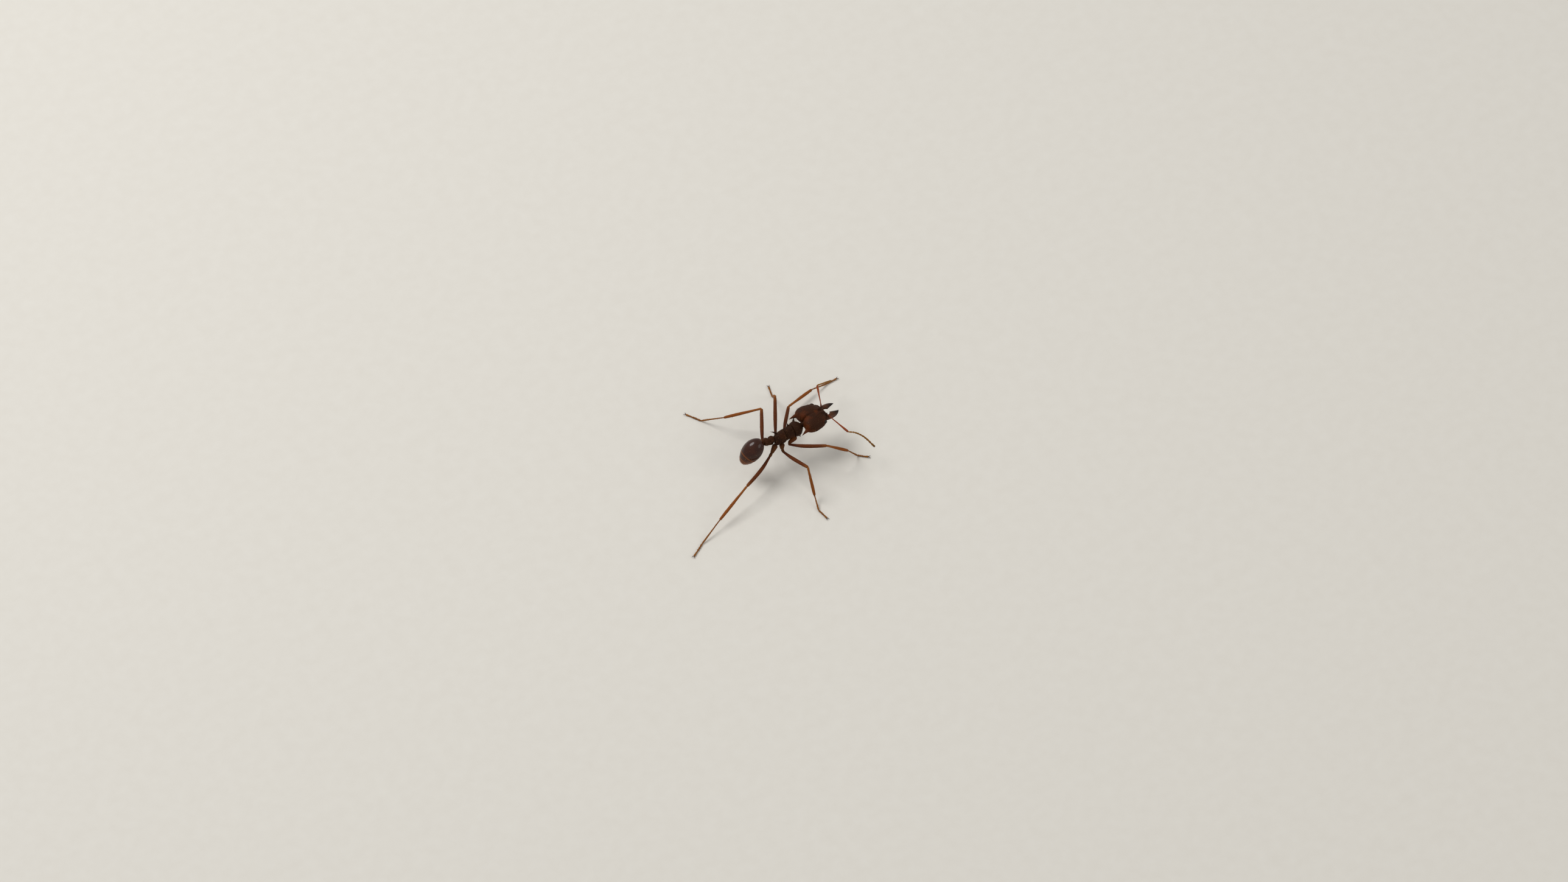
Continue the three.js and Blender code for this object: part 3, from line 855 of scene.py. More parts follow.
def toothed_edge(v):
    """The inner edge of the blade without its notches, and the depth of its notches."""
    toothed = v > TOOTH_START
    bite = np.clip((v - TOOTH_START) / (1 - TOOTH_START), 0, 1)
    edge = bow(*JAW_INNER_EDGE, np.clip(v / TOOTH_START, 0, 1))
    saw_line = np.array(JAW_HEEL) + (np.array(JAW_TIP) - np.array(JAW_HEEL)) * bite[:, None]
    edge[toothed] = saw_line[toothed]
    from_peak = np.abs((bite * JAW_TEETH) % 1 - TOOTH_PEAK)
    notch = np.where(toothed, from_peak * (TOOTH_DEPTH + TOOTH_GROWTH * bite) - TOOTH_RISE, 0)
    return edge, notch * soft_step(1.0, 0.93, bite)


# %% A toothed blade
def jaw_blade(side):
    v = np.linspace(0, 1, JAW_RINGS)
    outer = bow(*JAW_OUTER_EDGE, v)
    inner, notch = toothed_edge(v)
    rounded = np.sqrt(1 - (1 - np.clip(v / HINGE_ROUNDING, 0, 1)) ** 2)
    thick = smooth_through(JAW_THICKNESS, v) * rounded
    angle = np.linspace(0, 2 * np.pi, JAW_SIDES, endpoint=False)[None]
    across = (np.cos(angle) * rounded[:, None])[..., None]
    plan = (outer + inner)[:, None] / 2 + (outer - inner)[:, None] / 2 * across
    plan[..., 1] += notch[:, None] * np.clip(-np.cos(angle), 0, 1) ** THIN_EDGE
    z = thick[:, None] * np.sin(angle) * np.abs(np.sin(angle)) ** BLADE_ROUNDNESS
    y, z = turned(plan[..., 1], z, JAW_TILT)
    x, y = turned(plan[..., 0], y, JAW_OPEN)
    return closed_surface(on_head(np.stack([x, y, z], axis=-1) + JAW_HINGE, side))


for name, side in SIDES.items():
    jaw = mesh_mm(f"jaw_{name}", [jaw_blade(side)])
    reach = [on_head(JAW_HINGE, side), on_head(JAW_HINGE + (JAW_LENGTH, -0.4, 0), side)]
    length_map(jaw, Path(reach))
    dress(f"jaw_{name}", jaw, JAW_HORN, "mandible", f"mandible_{name}")
print("two jaws with", JAW_TEETH, "teeth each")

# %% [markdown]
# ## Mouthparts
# Behind the jaws hang a short upper lip, a tongue and two pairs of jointed palps. They show from
# below and between the open jaws, so each is a small tube of its own, merged into one piece.

# %% Driving sizes of the mouthparts
LIP = (((1.0, 0, -0.06), (1.2, 0, -0.12), (1.3, 0, -0.24)), (0.2, 0.22, 0.12), 0.35)  # line, radii, flatness
TONGUE = (((0.7, 0, -0.4), (1.0, 0, -0.46), (1.22, 0, -0.4)), (0.2, 0.2, 0.1), 0.6)
PALPS = ((0.12, 1.3), (0.26, 1.24))  # how far out each one stands, and how far ahead it reaches
PALP_RADII = (0.025, 0.036, 0.03)
PALP_JOINTS, PALP_JOINT_LENGTH = (0.0, 0.36, 0.7), 0.33  # as shares of a palp


# %% Lip, tongue and palps
def mouth_surfaces():
    surfaces = []
    for line, radii, flat in (LIP, TONGUE):
        surfaces.append(tube(Path(on_head(line)), radii, flat=flat))
    for side in SIDES.values():
        for out, reach in PALPS:
            line = ((0.85, out, -0.46), (1.1, out * 1.3, -0.52), (reach, out, -0.48))
            palp = Path(on_head(line, side))
            for start in PALP_JOINTS:
                end = start + PALP_JOINT_LENGTH
                surfaces.append(tube(palp, PALP_RADII, start, end, count=14, sides=10))
    return surfaces


mouth = merged_mesh("mouthparts", mouth_surfaces(), voxel=0.014, smoothing=2)
mouthparts = dress("mouthparts", mouth, HEAD_HORN, "head_shell")
print("mouthparts:", len(mouthparts.data.polygons), "faces")

# %% [markdown]
# ## Following the limbs of the frame
# Legs and feelers bend, and their solids already lie in the right pose. We cut each solid with
# planes across its length and join the middles of the cuts: that gives the line on which the
# thinner, finer limb is built. A line stops half a thickness short of its solid's far end.

# %% The middle of a cut through a solid
SOLID_RADIUS = 0.25  # half the thickness of a limb's solid


def solid_corners(node):
    return corners_of(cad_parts[node].data) / MM - ORIGIN


def cut_middle(corners, triangles, axis, height):
    """The middle of the cut that a plane across the axis makes in a solid."""
    heights = corners @ axis - height
    cuts = []
    for first, second in ((0, 1), (1, 2), (2, 0)):
        p, q = triangles[:, first], triangles[:, second]
        crossed = heights[p] * heights[q] < 0
        share = (heights[p] / (heights[p] - heights[q] + 1e-12))[crossed][:, None]
        cuts.append(corners[p[crossed]] * (1 - share) + corners[q[crossed]] * share)
    cuts = np.vstack(cuts)
    side = np.cross(axis, [0.0, 0.0, 1.0])
    side /= np.linalg.norm(side)
    up = np.cross(axis, side)
    spans = [(direction, cuts @ direction) for direction in (side, up)]
    return axis * height + sum(d * (s.min() + s.max()) / 2 for d, s in spans)


# %% The middle line of a limb
def middle_line(node, near, trim=0.55, count=7):
    """Points down the middle of a solid, from trim beyond the end near a place to its far joint."""
    corners, triangles = solid_corners(node), triangles_of(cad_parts[node].data)
    axis = np.linalg.svd(corners - corners.mean(axis=0), full_matrices=False)[2][0]
    axis = axis if (corners.mean(axis=0) - near) @ axis > 0 else -axis
    heights = corners @ axis
    stations = np.linspace(heights.min() + trim, heights.max() - SOLID_RADIUS, count)
    return [cut_middle(corners, triangles, axis, height) for height in stations]


# %% [markdown]
# ## Elbowed feelers
# A feeler starts with one long segment, the scape, which sits in its socket on a round neck like
# a ball joint. After the elbow come nine short segments, each a little thicker than the last, and
# a long one at the end. Each is a tube that is narrow where it joins the next, so the feeler
# looks beaded.

# %% Driving sizes of a feeler
SCAPE_RADII = (0.055, 0.066, 0.04, 0.046, 0.05, 0.056, 0.068, 0.084, 0.092, 0.08)
FEELER_SHARES = np.array([1.5, 0.8, 0.85, 0.9, 0.95, 1.0, 1.05, 1.1, 1.2, 2.0])
FEELER_RADII = np.linspace(0.06, 0.08, len(FEELER_SHARES))
BEAD_PROFILE = (0.62, 0.86, 1.0, 1.0, 0.8)  # thickness along a segment, as shares of its radius
BEAD_OVERLAP = 0.006  # how far a segment runs into the next one, as a share of the feeler


def beads(path, shares, thickness):
    """Segments of given shares of a path, each narrow at both ends."""
    ends = np.concatenate([[0], np.cumsum(shares)]) / np.sum(shares)
    surfaces = []
    for first, last, radius in zip(ends[:-1], ends[1:], thickness):
        profile = [radius * share for share in BEAD_PROFILE]
        surfaces.append(tube(path, profile, first, min(last + BEAD_OVERLAP, 1), sides=16, count=22))
    return surfaces


# %% Two feelers
def limb_piece(name, surfaces, path, finish, slot, *nodes):
    """A dressed piece of a limb with the path that it follows, for its bristles."""
    mesh = mesh_mm(name, surfaces)
    length_map(mesh, path)
    return dress(name, mesh, finish, slot, *nodes), path


FEELERS = {}
for name, side in SIDES.items():
    socket = on_head(SOCKET, side)
    scape = Path([socket, *middle_line(f"scape_{name}", socket)])
    elbow = scape.points[-1]
    lash = Path([elbow, *middle_line(f"funiculus_{name}", elbow, count=6)])
    shaft = [tube(scape, SCAPE_RADII, sides=24, count=70)]
    segments = beads(lash, FEELER_SHARES, FEELER_RADII)
    FEELERS[name] = [
        limb_piece(f"scape_{name}_shell", shaft, scape, AMBER["scape"], "scape", f"scape_{name}"),
        limb_piece(f"feeler_{name}", segments, lash, AMBER["feeler"], "feeler", f"funiculus_{name}"),
    ]
    print(f"{name} feeler: scape {scape.length:.2f} mm, lash {lash.length:.2f} mm")

# %% [markdown]
# ## The thorax
# Three plates show from above: a broad front plate with the neck, a domed middle plate and the
# rear plate that carries the waist. Their width, height and middle follow the solids through
# seven stations. Each plate takes its own stretch of that form and curls in at its rims, which
# leaves a real groove between plates. Spines and the side plates over the hips merge with them.

# %% Sizes along the thorax
THORAX_REAR, THORAX_FRONT = -1.42, 1.38
THORAX_WIDTH = (0.38, 0.46, 0.5, 0.5, 0.6, 0.78, 0.5)
THORAX_HEIGHT = (0.56, 0.62, 0.64, 0.63, 0.68, 0.7, 0.46)
THORAX_MIDDLE = (3.06, 3.0, 2.98, 2.99, 3.02, 3.0, 3.0)
THORAX_BLUNTNESS = 0.225  # the lower, the later the thorax narrows towards its two ends
FLANK_ROUNDNESS = 0.9  # 1 is as round as a ball, and less is fuller
RIM = 0.1  # how far a plate takes to curl in at its ends
INSET = 0.02  # keeps the shells inside the solids
THORAX_RINGS, THORAX_SIDES = 70, 96
NECK = (((1.0, 0, 3.04), (1.4, 0, 3.04), (1.8, 0.06, 3.1)), (0.26, 0.25, 0.22, 0.24))  # line and radii


def plate(rear, front, swell=0.0):
    """One plate of the thorax; swell lifts it over the common form, or sinks it below."""
    v = np.linspace(0, 1, THORAX_RINGS)[:, None]
    x = rear + (front - rear) * (0.5 - 0.5 * np.cos(np.pi * v))
    t = (x - THORAX_REAR) / (THORAX_FRONT - THORAX_REAR)
    blunt = np.clip(1 - (2 * t - 1) ** 2, 0, 1) ** THORAX_BLUNTNESS
    curl = np.sqrt(1 - (1 - np.clip((x - rear) / RIM, 0, 1)) ** 2)
    curl = curl * np.sqrt(1 - (1 - np.clip((front - x) / RIM, 0, 1)) ** 2)
    u = np.linspace(0, 2 * np.pi, THORAX_SIDES, endpoint=False)[None]
    grow = swell - INSET
    across = np.sign(np.cos(u)) * np.abs(np.cos(u)) ** FLANK_ROUNDNESS
    y = (smooth_through(THORAX_WIDTH, t) + grow) * blunt * curl * across
    z = (smooth_through(THORAX_HEIGHT, t) + grow) * blunt * curl * np.sin(u)
    z = z + smooth_through(THORAX_MIDDLE, t)
    return closed_surface(np.stack([x + 0 * u, y, z], axis=-1))


def ball(middle, size, sides=40):
    return closed_surface(globe(sides, 2 * sides) * size + middle)


# %% What each plate carries on its left side
PLATE_SPANS = {  # rear end, front end and swell
    "pronotum": (0.38, THORAX_FRONT),
    "mesonotum": (-0.4, 0.46, -0.012),
    "propodeum": (THORAX_REAR, -0.3),
}
PLATE_SPINES = {  # foot, point and radius
    "pronotum": (
        ((0.92, 0.56, 3.28), (1.11, 0.76, 3.58), 0.14),
        ((0.75, 0.6, 2.72), (0.86, 0.74, 2.6), 0.07),
    ),
    "mesonotum": (
        ((0.22, 0.28, 3.46), (0.16, 0.34, 3.9), 0.13),
        ((-0.2, 0.22, 3.48), (-0.26, 0.25, 3.68), 0.08),
    ),
    "propodeum": (((-1.0, 0.2, 3.5), (-1.56, 0.36, 3.9), 0.12),),
}
SIDE_PLATES = {  # middle, and half of the length, width and height
    "mesonotum": ((-0.62, 0.24, 2.74), (0.36, 0.22, 0.34)),
    "propodeum": ((-1.16, 0.2, 2.78), (0.3, 0.22, 0.3)),
}
BREATHING_HOLE = ((-1.0, 0.46, 3.04), (-0.2, 1, 0.1), 0.05, 0.018)  # middle, facing, radius, thickness


# %% Three plates with their spines
def plate_surfaces(part):
    """A plate with its spines and side plates on both sides."""
    surfaces = [plate(*PLATE_SPANS[part])]
    for foot, point, radius in PLATE_SPINES[part]:
        surfaces += [thorn(mirrored(foot, s), mirrored(point, s), radius) for s in SIDES.values()]
    if part in SIDE_PLATES:
        middle, size = SIDE_PLATES[part]
        surfaces += [ball(mirrored(middle, s), size) for s in SIDES.values()]
    return surfaces


def breathing_holes():
    middle, facing, radius, thickness = BREATHING_HOLE
    return [ring(mirrored(middle, s), mirrored(facing, s), radius, thickness) for s in SIDES.values()]


def thorax_piece(name, surfaces, *nodes, voxel=0.02, finish=THORAX_HORN):
    return dress(name, merged_mesh(name, surfaces, voxel), finish, "thorax_shell", *nodes)


neck = tube(Path(NECK[0]), NECK[1], sides=28)
pronotum = thorax_piece("pronotum_shell", plate_surfaces("pronotum") + [neck], "pronotum")
mesonotum = thorax_piece("mesonotum_shell", plate_surfaces("mesonotum"))
rear_surfaces = plate_surfaces("propodeum") + breathing_holes()
propodeum = thorax_piece("propodeum_shell", rear_surfaces, "rear_thorax")
print("thorax:", [len(p.data.polygons) for p in (pronotum, mesonotum, propodeum)], "faces")

# %% [markdown]
# ## The waist
# Two knots let an ant bend its gaster right under its body. Each knot is a small rounded
# segment on a stalk, and the stalks meet like a ball in a cup. The first knot bears two pairs of
# little teeth, and the second is wider, with a soft hollow down its middle. The knots are small,
# so the remesh that merges them takes finer voxels.

# %% Driving sizes of the waist
PETIOLE = middle_mm("petiole") - ORIGIN
POSTPETIOLE = middle_mm("postpetiole") - ORIGIN
STALK_START = (THORAX_REAR + 0.15, 0.03, 3.16)
STALK_RADII = (0.16, 0.14, 0.2, 0.2)
LINK_RADII, GASTER_LINK_RADII = (0.16, 0.13, 0.12, 0.12), (0.2, 0.17, 0.17, 0.2)
FIRST_KNOT = ((0.01, 0, 0), (0.31, 0.29, 0.31))  # its offset, and half its length, width and height
SECOND_KNOT = ((0.01, 0.08, 0), (0.31, 0.27, 0.3))  # each of its two halves
KNOT_TEETH = (  # foot and point
    ((0.06, 0.13, 0.18), (0.01, 0.17, 0.3)),
    ((-0.14, 0.13, 0.18), (-0.19, 0.17, 0.32)),
)
KNOT_TOOTH_RADIUS = 0.06
KNOT_LOOK = {"voxel": 0.014, "finish": WAIST_HORN}


# %% Two knots on their stalks
def petiole_surfaces():
    stalk = Path([STALK_START, PETIOLE + (0.2, 0, -0.06), PETIOLE])
    link = Path([PETIOLE, (PETIOLE + POSTPETIOLE) / 2, POSTPETIOLE])
    offset, size = FIRST_KNOT
    surfaces = [ball(PETIOLE + offset, size), tube(stalk, STALK_RADII), tube(link, LINK_RADII)]
    for foot, point in KNOT_TEETH:
        for side in SIDES.values():
            ends = [PETIOLE + mirrored(place, side) for place in (foot, point)]
            surfaces.append(thorn(*ends, KNOT_TOOTH_RADIUS))
    return surfaces


def postpetiole_surfaces():
    offset, size = SECOND_KNOT
    surfaces = [ball(POSTPETIOLE + mirrored(offset, side), size) for side in SIDES.values()]
    link = Path([POSTPETIOLE, (POSTPETIOLE + GASTER_MOUTH) / 2, GASTER_MOUTH])
    return [*surfaces, tube(link, GASTER_LINK_RADII)]


waist = [
    thorax_piece("petiole_shell", petiole_surfaces(), "petiole", **KNOT_LOOK),
    thorax_piece("postpetiole_shell", postpetiole_surfaces(), "postpetiole", **KNOT_LOOK),
]
print("waist knots at", PETIOLE.round(2), POSTPETIOLE.round(2))

# %% [markdown]
# ## The gaster
# Four back plates and three belly plates slide into each other like the sections of a telescope
# over a bag of soft skin. The first back plate covers most of the gaster. Each plate is a curved
# sheet with a true thickness, tucked in at its front edge and standing proud at its rear one.

# %% The egg that the plates lie on
EGG_TAPER = 0.1  # how much thinner it is at the tip than in the middle, as a share
EGG_PINCH = 0.08  # how much thinner it is towards both ends
EGG_FULLNESS = 1.02  # makes up for the pinch


def on_egg(t, angle, depth):
    """A point of the egg: t runs from -1 at the waist to 1 at the tip, and angle from the top."""
    fullness = (1 - EGG_TAPER * t - EGG_PINCH * t * t) * EGG_FULLNESS * np.sqrt(np.clip(1 - t * t, 0, 1))
    wide, high = GASTER_WIDTH / 2 - INSET - depth, GASTER_HEIGHT / 2 - INSET - depth
    along, across, upwards = t * GASTER_LENGTH / 2, fullness * wide, fullness * high
    out = np.stack([along + 0 * angle, across * np.sin(angle), upwards * np.cos(angle)])
    axes = np.stack([GASTER_AHEAD, GASTER_SIDE, GASTER_UP])
    return GASTER_CENTRE + np.moveaxis(out, 0, -1) @ axes


# %% Curved sheets of horn
PLATE_THICKNESS = 0.03
TUCK, TUCK_REACH = 0.03, 0.12  # how deep a front edge is tucked in, and over what share of the egg
FLARE, FLARE_REACH = 0.014, 0.06  # how proud a rear edge stands, and over what share
FIRST_PLATE_START = -0.9  # a plate that starts no later has none before it to slide under
GASTER_RINGS, GASTER_SIDES = 60, 90


def sheet_of_horn(outer, inner):
    """Closes two matching grids of points, one over the other, into a sheet with thickness."""
    rows, columns = outer.shape[:2]
    number = np.arange(rows * columns).reshape(rows, columns)
    a, b = number[:-1, :-1], number[:-1, 1:]
    c, d = number[1:, 1:], number[1:, :-1]
    top = np.stack([a, b, c, d], axis=-1).reshape(-1, 4)
    low = top[:, ::-1] + rows * columns
    edge = np.concatenate([number[0], number[1:, -1], number[-1, -2::-1], number[-2:0:-1, 0]])
    after = np.roll(edge, -1)
    rim = np.stack([after, edge, edge + rows * columns, after + rows * columns], axis=-1)
    faces = [tuple(face) for face in np.vstack([top, low, rim]).tolist()]
    return turned_outwards(np.vstack([outer.reshape(-1, 3), inner.reshape(-1, 3)]), faces)


def gaster_plate(start, end, middle, spread, depth):
    t = np.linspace(start, end, GASTER_RINGS)[:, None]
    angle = middle + np.linspace(-spread, spread, GASTER_SIDES)[None]
    tuck = TUCK * (1 - soft_step(start, start + TUCK_REACH, t)) * (start > FIRST_PLATE_START)
    flare = FLARE * soft_step(end - FLARE_REACH, end, t)
    sink = tuck - flare + depth
    return sheet_of_horn(on_egg(t, angle, sink), on_egg(t, angle, sink + PLATE_THICKNESS))


# %% Plates over soft skin
BACK_SPREAD, BELLY_SPREAD = np.radians(118), np.radians(70)  # how far a plate wraps each way
BACK_STEP, BELLY_DEPTH, SKIN_DEPTH = 0.004, 0.035, 0.045  # how deep they lie under the egg
SOLIDS_OF_PLATES = ("gaster_front", "gaster_middle", "gaster_tip")

gaster = []
for k, (start, end) in enumerate(BACK_PLATES):
    name = f"back_plate_{k + 1}"
    sheet = mesh_mm(name, [gaster_plate(start, end, 0, BACK_SPREAD, BACK_STEP * k)])
    gaster.append(dress(name, sheet, GASTER_HORN, "gaster", *SOLIDS_OF_PLATES[k : k + 1]))
for k, (start, end) in enumerate(BELLY_PLATES):
    name = f"belly_plate_{k + 1}"
    sheet = mesh_mm(name, [gaster_plate(start, end, np.pi, BELLY_SPREAD, BELLY_DEPTH)])
    gaster.append(dress(name, sheet, GASTER_HORN, "gaster"))

t = -np.cos(np.linspace(0, np.pi, GASTER_RINGS))[:, None]
around = np.linspace(0, 2 * np.pi, GASTER_SIDES, endpoint=False)[None]
skin = mesh_mm("gaster_skin", [closed_surface(on_egg(t, around, SKIN_DEPTH))])
dress("gaster_skin", skin, SOFT_SKIN, "gaster")
print("gaster:", len(gaster), "plates over one skin")

# %% [markdown]
# ## Legs
# An ant's leg has nine visible segments: a stout coxa at the hip, a short trochanter, a long
# femur, a tibia with a spur at its end, and a foot of five joints that ends in two claws. Every
# segment is a tube along the middle line of its solid, with its own swelling, and it runs a
# little way into the one before, so that no gap opens at a joint. The femora of the right legs
# bow outwards as they take the load.

# %% Driving sizes of a leg
HIP = {"front": (0.62, 0.3, 2.42), "middle": (-0.8, 0.3, 2.5), "hind": (-1.32, 0.18, 2.62)}
FEMUR_LENGTH = {"front": 3.34, "middle": 3.21, "hind": 3.14}
THIGH_TRIM = 1.1  # how much of a femur's solid lies before the bend at the trochanter
TROCHANTER_SHARE = 0.7  # how much of the way from the coxa to the bend is trochanter
COXA_RADII = (0.22, 0.24, 0.21, 0.17, 0.13)
TROCHANTER_RADII = (0.12, 0.13, 0.118, 0.1)
FEMUR_RADII = (0.1, 0.115, 0.135, 0.15, 0.158, 0.157, 0.152, 0.146, 0.138, 0.115)
TIBIA_RADII = (0.1, 0.09, 0.1, 0.115, 0.126, 0.13, 0.122, 0.1)
TROCHANTER_OVERLAP = 0.06  # how far it runs back into the coxa
FEMUR_OVERLAP = 0.2  # how far it runs back into the trochanter, as a share of that

# %% How a right femur bows as it takes the load
FEMUR_BOW = {
    "front": (-0.017, 0.0595, -0.0255),
    "middle": (-0.0085, 0.034, -0.017),
    "hind": (0.017, 0.0935, -0.017),
}
BOW_PLACES = (0.28, 0.6)  # where along the femur the bow is


def bowed_femur(pair, name, first, knee):
    """The line of a femur from the end of its trochanter; only the right ones bow."""
    bow_out = mirrored(FEMUR_BOW[pair], SIDES[name]) * (name == "right")
    return [first * (1 - share) + knee * share + bow_out for share in BOW_PLACES]


# %% [markdown]
# ## Where the joints of a leg lie
# Each limb's solid ends in a ball, and the joint is its centre. We take the corners of that round
# end and solve for the centre that they all share, which is more exact than the end of a cut.
# A foot then sinks to the floor inside its solid, because a real foot is much thinner, and its
# long first joint does most of the sinking.

# %% Driving sizes of a foot
BALL_SHARE = {"front": 0.63, "middle": 0.54, "hind": 0.63}  # how far along its foot the long joint ends
TOE_SHARES = np.array([0.22, 0.18, 0.17, 0.43])  # the four short joints of a foot
FOOT_RADII = (0.062, 0.07, 0.07, 0.072, 0.066)
JOINT_SWELL = 1.12  # how much a foot's joint thickens at its far end
JOINT_PROFILE = (0.7, 0.8, 0.85, 0.95, JOINT_SWELL, 1)
JOINT_OVERLAP = 0.004  # how far each joint runs into the next one, as a share of the foot
TOE_HEIGHT = max(FOOT_RADII) * JOINT_SWELL + 0.012  # how high the toes' middle line runs
ROUND_END = 0.2  # how much of a solid's far end is round


def far_joint(node, near):
    """The middle of the round end of a limb's solid, found by fitting a ball to its corners."""
    corners = solid_corners(node)
    away = np.linalg.norm(corners - near, axis=1)
    dome = corners[away > away.max() - ROUND_END]
    system = np.column_stack([2 * dome, np.ones(len(dome))])
    return np.linalg.lstsq(system, (dome**2).sum(axis=1), rcond=None)[0][:3]


def lowered_foot(points, ball_share):
    """Lets the foot sink to the floor by its first joint's end, and lie there to the toes."""
    points = np.array(points)
    steps = np.concatenate([[0], np.cumsum(np.linalg.norm(np.diff(points, axis=0), axis=1))])
    share = np.clip(steps / steps[-1] / ball_share, 0, 1)
    points[:, 2] = points[0, 2] + share * (TOE_HEIGHT - points[0, 2])
    return points


# %% The middle lines of a leg
def leg_paths(pair, name):
    """The paths of a leg's five parts, from its hip to its toes."""
    label = f"{pair}_{name}"
    hip = mirrored(HIP[pair], SIDES[name])
    coxa_end = far_joint(f"coxa_{label}", hip)
    knee = far_joint(f"femur_{label}", coxa_end)
    ankle = far_joint(f"tibia_{label}", knee)
    thigh = middle_line(f"femur_{label}", coxa_end, trim=THIGH_TRIM)
    back = (thigh[2] - knee) / np.linalg.norm(thigh[2] - knee)
    bend = knee + back * FEMUR_LENGTH[pair]
    first = coxa_end + (bend - coxa_end) * TROCHANTER_SHARE
    overlap = (coxa_end - hip) / np.linalg.norm(coxa_end - hip) * TROCHANTER_OVERLAP
    femur_start = first + (coxa_end - first) * FEMUR_OVERLAP
    foot = [ankle, *middle_line(f"tarsus_{label}", ankle, count=8)]
    return {
        "coxa": Path([hip, (hip + coxa_end) / 2, coxa_end]),
        "trochanter": Path([coxa_end - overlap, (coxa_end + first) / 2, first]),
        "femur": Path([femur_start, *bowed_femur(pair, name, first, knee), knee]),
        "tibia": Path([knee, (knee + ankle) / 2, ankle]),
        "foot": Path(lowered_foot(foot, BALL_SHARE[pair])),
    }


# %% [markdown]
# ## Joints, claws and spurs
# The five joints of a foot are short trumpets, each wider at its far end, where the next one
# plugs in. Two hooked claws with a pad between them let the ant hold on to bark and leaves. Each
# tibia ends in a spur, which on the front legs is the comb that cleans the feelers, and the middle
# and hind legs have a second one. All of them are thorns or tubes, as the spines of the body are.

# %% Driving sizes of claws and spurs
CLAW_LINE = ((0, 0.02, 0), (0.08, 0.06, 0.035), (0.16, 0.1, 0.015), (0.19, 0.125, -0.055))  # ahead, out, up
CLAW_RADII = (0.03, 0.026, 0.018, 0.005)
PAD_AHEAD, PAD_SIZE = 0.03, (0.045, 0.045, 0.03)
SPUR_PLACE, SPUR_RADIUS = 0.97, 0.032  # where along the tibia it grows, and how thick its foot is
SPUR_AHEAD, SPUR_DOWN = 0.8, 0.55  # how it leans, as shares of its length
SPURS = {"front": ((0.26, 0.1),), "middle": ((0.26, 0.1), (0.2, -0.25))}  # length, and lean to the side
SPURS["hind"] = SPURS["middle"]


def foot_surfaces(path, ball_share):
    surfaces, start = [], 0.0
    for share, radius in zip([ball_share, *TOE_SHARES * (1 - ball_share)], FOOT_RADII):
        end = min(start + share, 1.0)
        profile = [radius * swell for swell in JOINT_PROFILE]
        surfaces.append(tube(path, profile, start, min(end + JOINT_OVERLAP, 1), sides=16, count=30))
        start = end
    return surfaces


def claw_surfaces(path):
    """Two hooked claws and the pad between them, at the end of a foot."""
    tip = path.points[-1]
    ahead, side, _ = (d[0] for d in path.directions(np.array([1.0])))
    level = np.array([ahead[0], ahead[1], 0.0]) / np.hypot(ahead[0], ahead[1])
    surfaces = [ball(tip + level * PAD_AHEAD, PAD_SIZE, sides=14)]
    for lean in (-1, 1):
        hook = [tip + level * a + side * lean * b + np.array([0, 0, c]) for a, b, c in CLAW_LINE]
        surfaces.append(tube(Path(hook), CLAW_RADII, sides=12, count=26))
    return surfaces


def spur(path, length, lean):
    """A little spur at the far end of a tibia."""
    ahead, side, up = (d[0] for d in path.directions(np.array([SPUR_PLACE])))
    root = path.at(SPUR_PLACE)
    tip = root + (ahead * SPUR_AHEAD - up * SPUR_DOWN + side * lean) * length
    return thorn(root, tip, SPUR_RADIUS, sides=10)


# %% Dress one leg
def segment(name, radii, path, finish, *nodes, extras=()):
    """One tubular length of a leg, with any spurs that it carries."""
    return limb_piece(name, [tube(path, radii, sides=28, count=70), *extras], path, finish, "leg", *nodes)


def leg(pair, name):
    label, horn = f"{pair}_{name}", HIP_HORN[pair]
    paths = leg_paths(pair, name)
    coxa, trochanter, femur, tibia, foot = paths.values()
    spurs = [spur(tibia, *size) for size in SPURS[pair]]
    joints = foot_surfaces(foot, BALL_SHARE[pair])
    parts = {
        "coxa": segment(f"coxa_{label}_shell", COXA_RADII, coxa, horn, f"coxa_{label}"),
        "trochanter": segment(f"trochanter_{label}", TROCHANTER_RADII, trochanter, horn),
        "femur": segment(f"femur_{label}_shell", FEMUR_RADII, femur, AMBER["femur"], f"femur_{label}"),
        "tibia": segment(
            f"tibia_{label}_shell", TIBIA_RADII, tibia, AMBER["tibia"], f"tibia_{label}", extras=spurs
        ),
        "foot": limb_piece(f"foot_{label}", joints, foot, AMBER["foot"], "foot", f"tarsus_{label}"),
    }
    dress(f"claws_{label}", mesh_mm(f"claws_{label}", claw_surfaces(foot)), JAW_HORN, "foot")
    print(f"{label}: femur {femur.length:.2f}, tibia {tibia.length:.2f}, foot {foot.length:.2f} mm")
    return parts


# %% Six legs
LEGS = {(pair, name): leg(pair, name) for pair in PAIRS for name in SIDES}

# %% [markdown]
# ## Bristles
# An ant feels its way with stiff bristles: long sparse ones on the body, short dense ones on feet
# and feelers. We scatter roots over each shell, weighted by area, and grow a thin three-sided
# spike from each root, leaning along the shell. All bristles of a region are one mesh. Its UV
# map keeps each bristle on a tiny patch of its own, at its root's place on the unrolled shell.


# %% Scatter roots over a shell
def scatter(piece, count, chance):
    """Root places and outward directions, in the ant's millimetres, spread evenly over a mesh."""
    corners = corners_of(piece.data) / MM - ORIGIN
    triangles = triangles_of(piece.data)
    a, b, c = (corners[triangles[:, k]] for k in range(3))
    normals = np.cross(b - a, c - a)
    areas = np.linalg.norm(normals, axis=1)
    picked = chance.choice(len(areas), count, p=areas / areas.sum())
    s, t = np.sqrt(chance.random((count, 1))), chance.random((count, 1))
    roots = a[picked] * (1 - s) + b[picked] * s * (1 - t) + c[picked] * s * t
    return roots, normals[picked] / areas[picked][:, None]


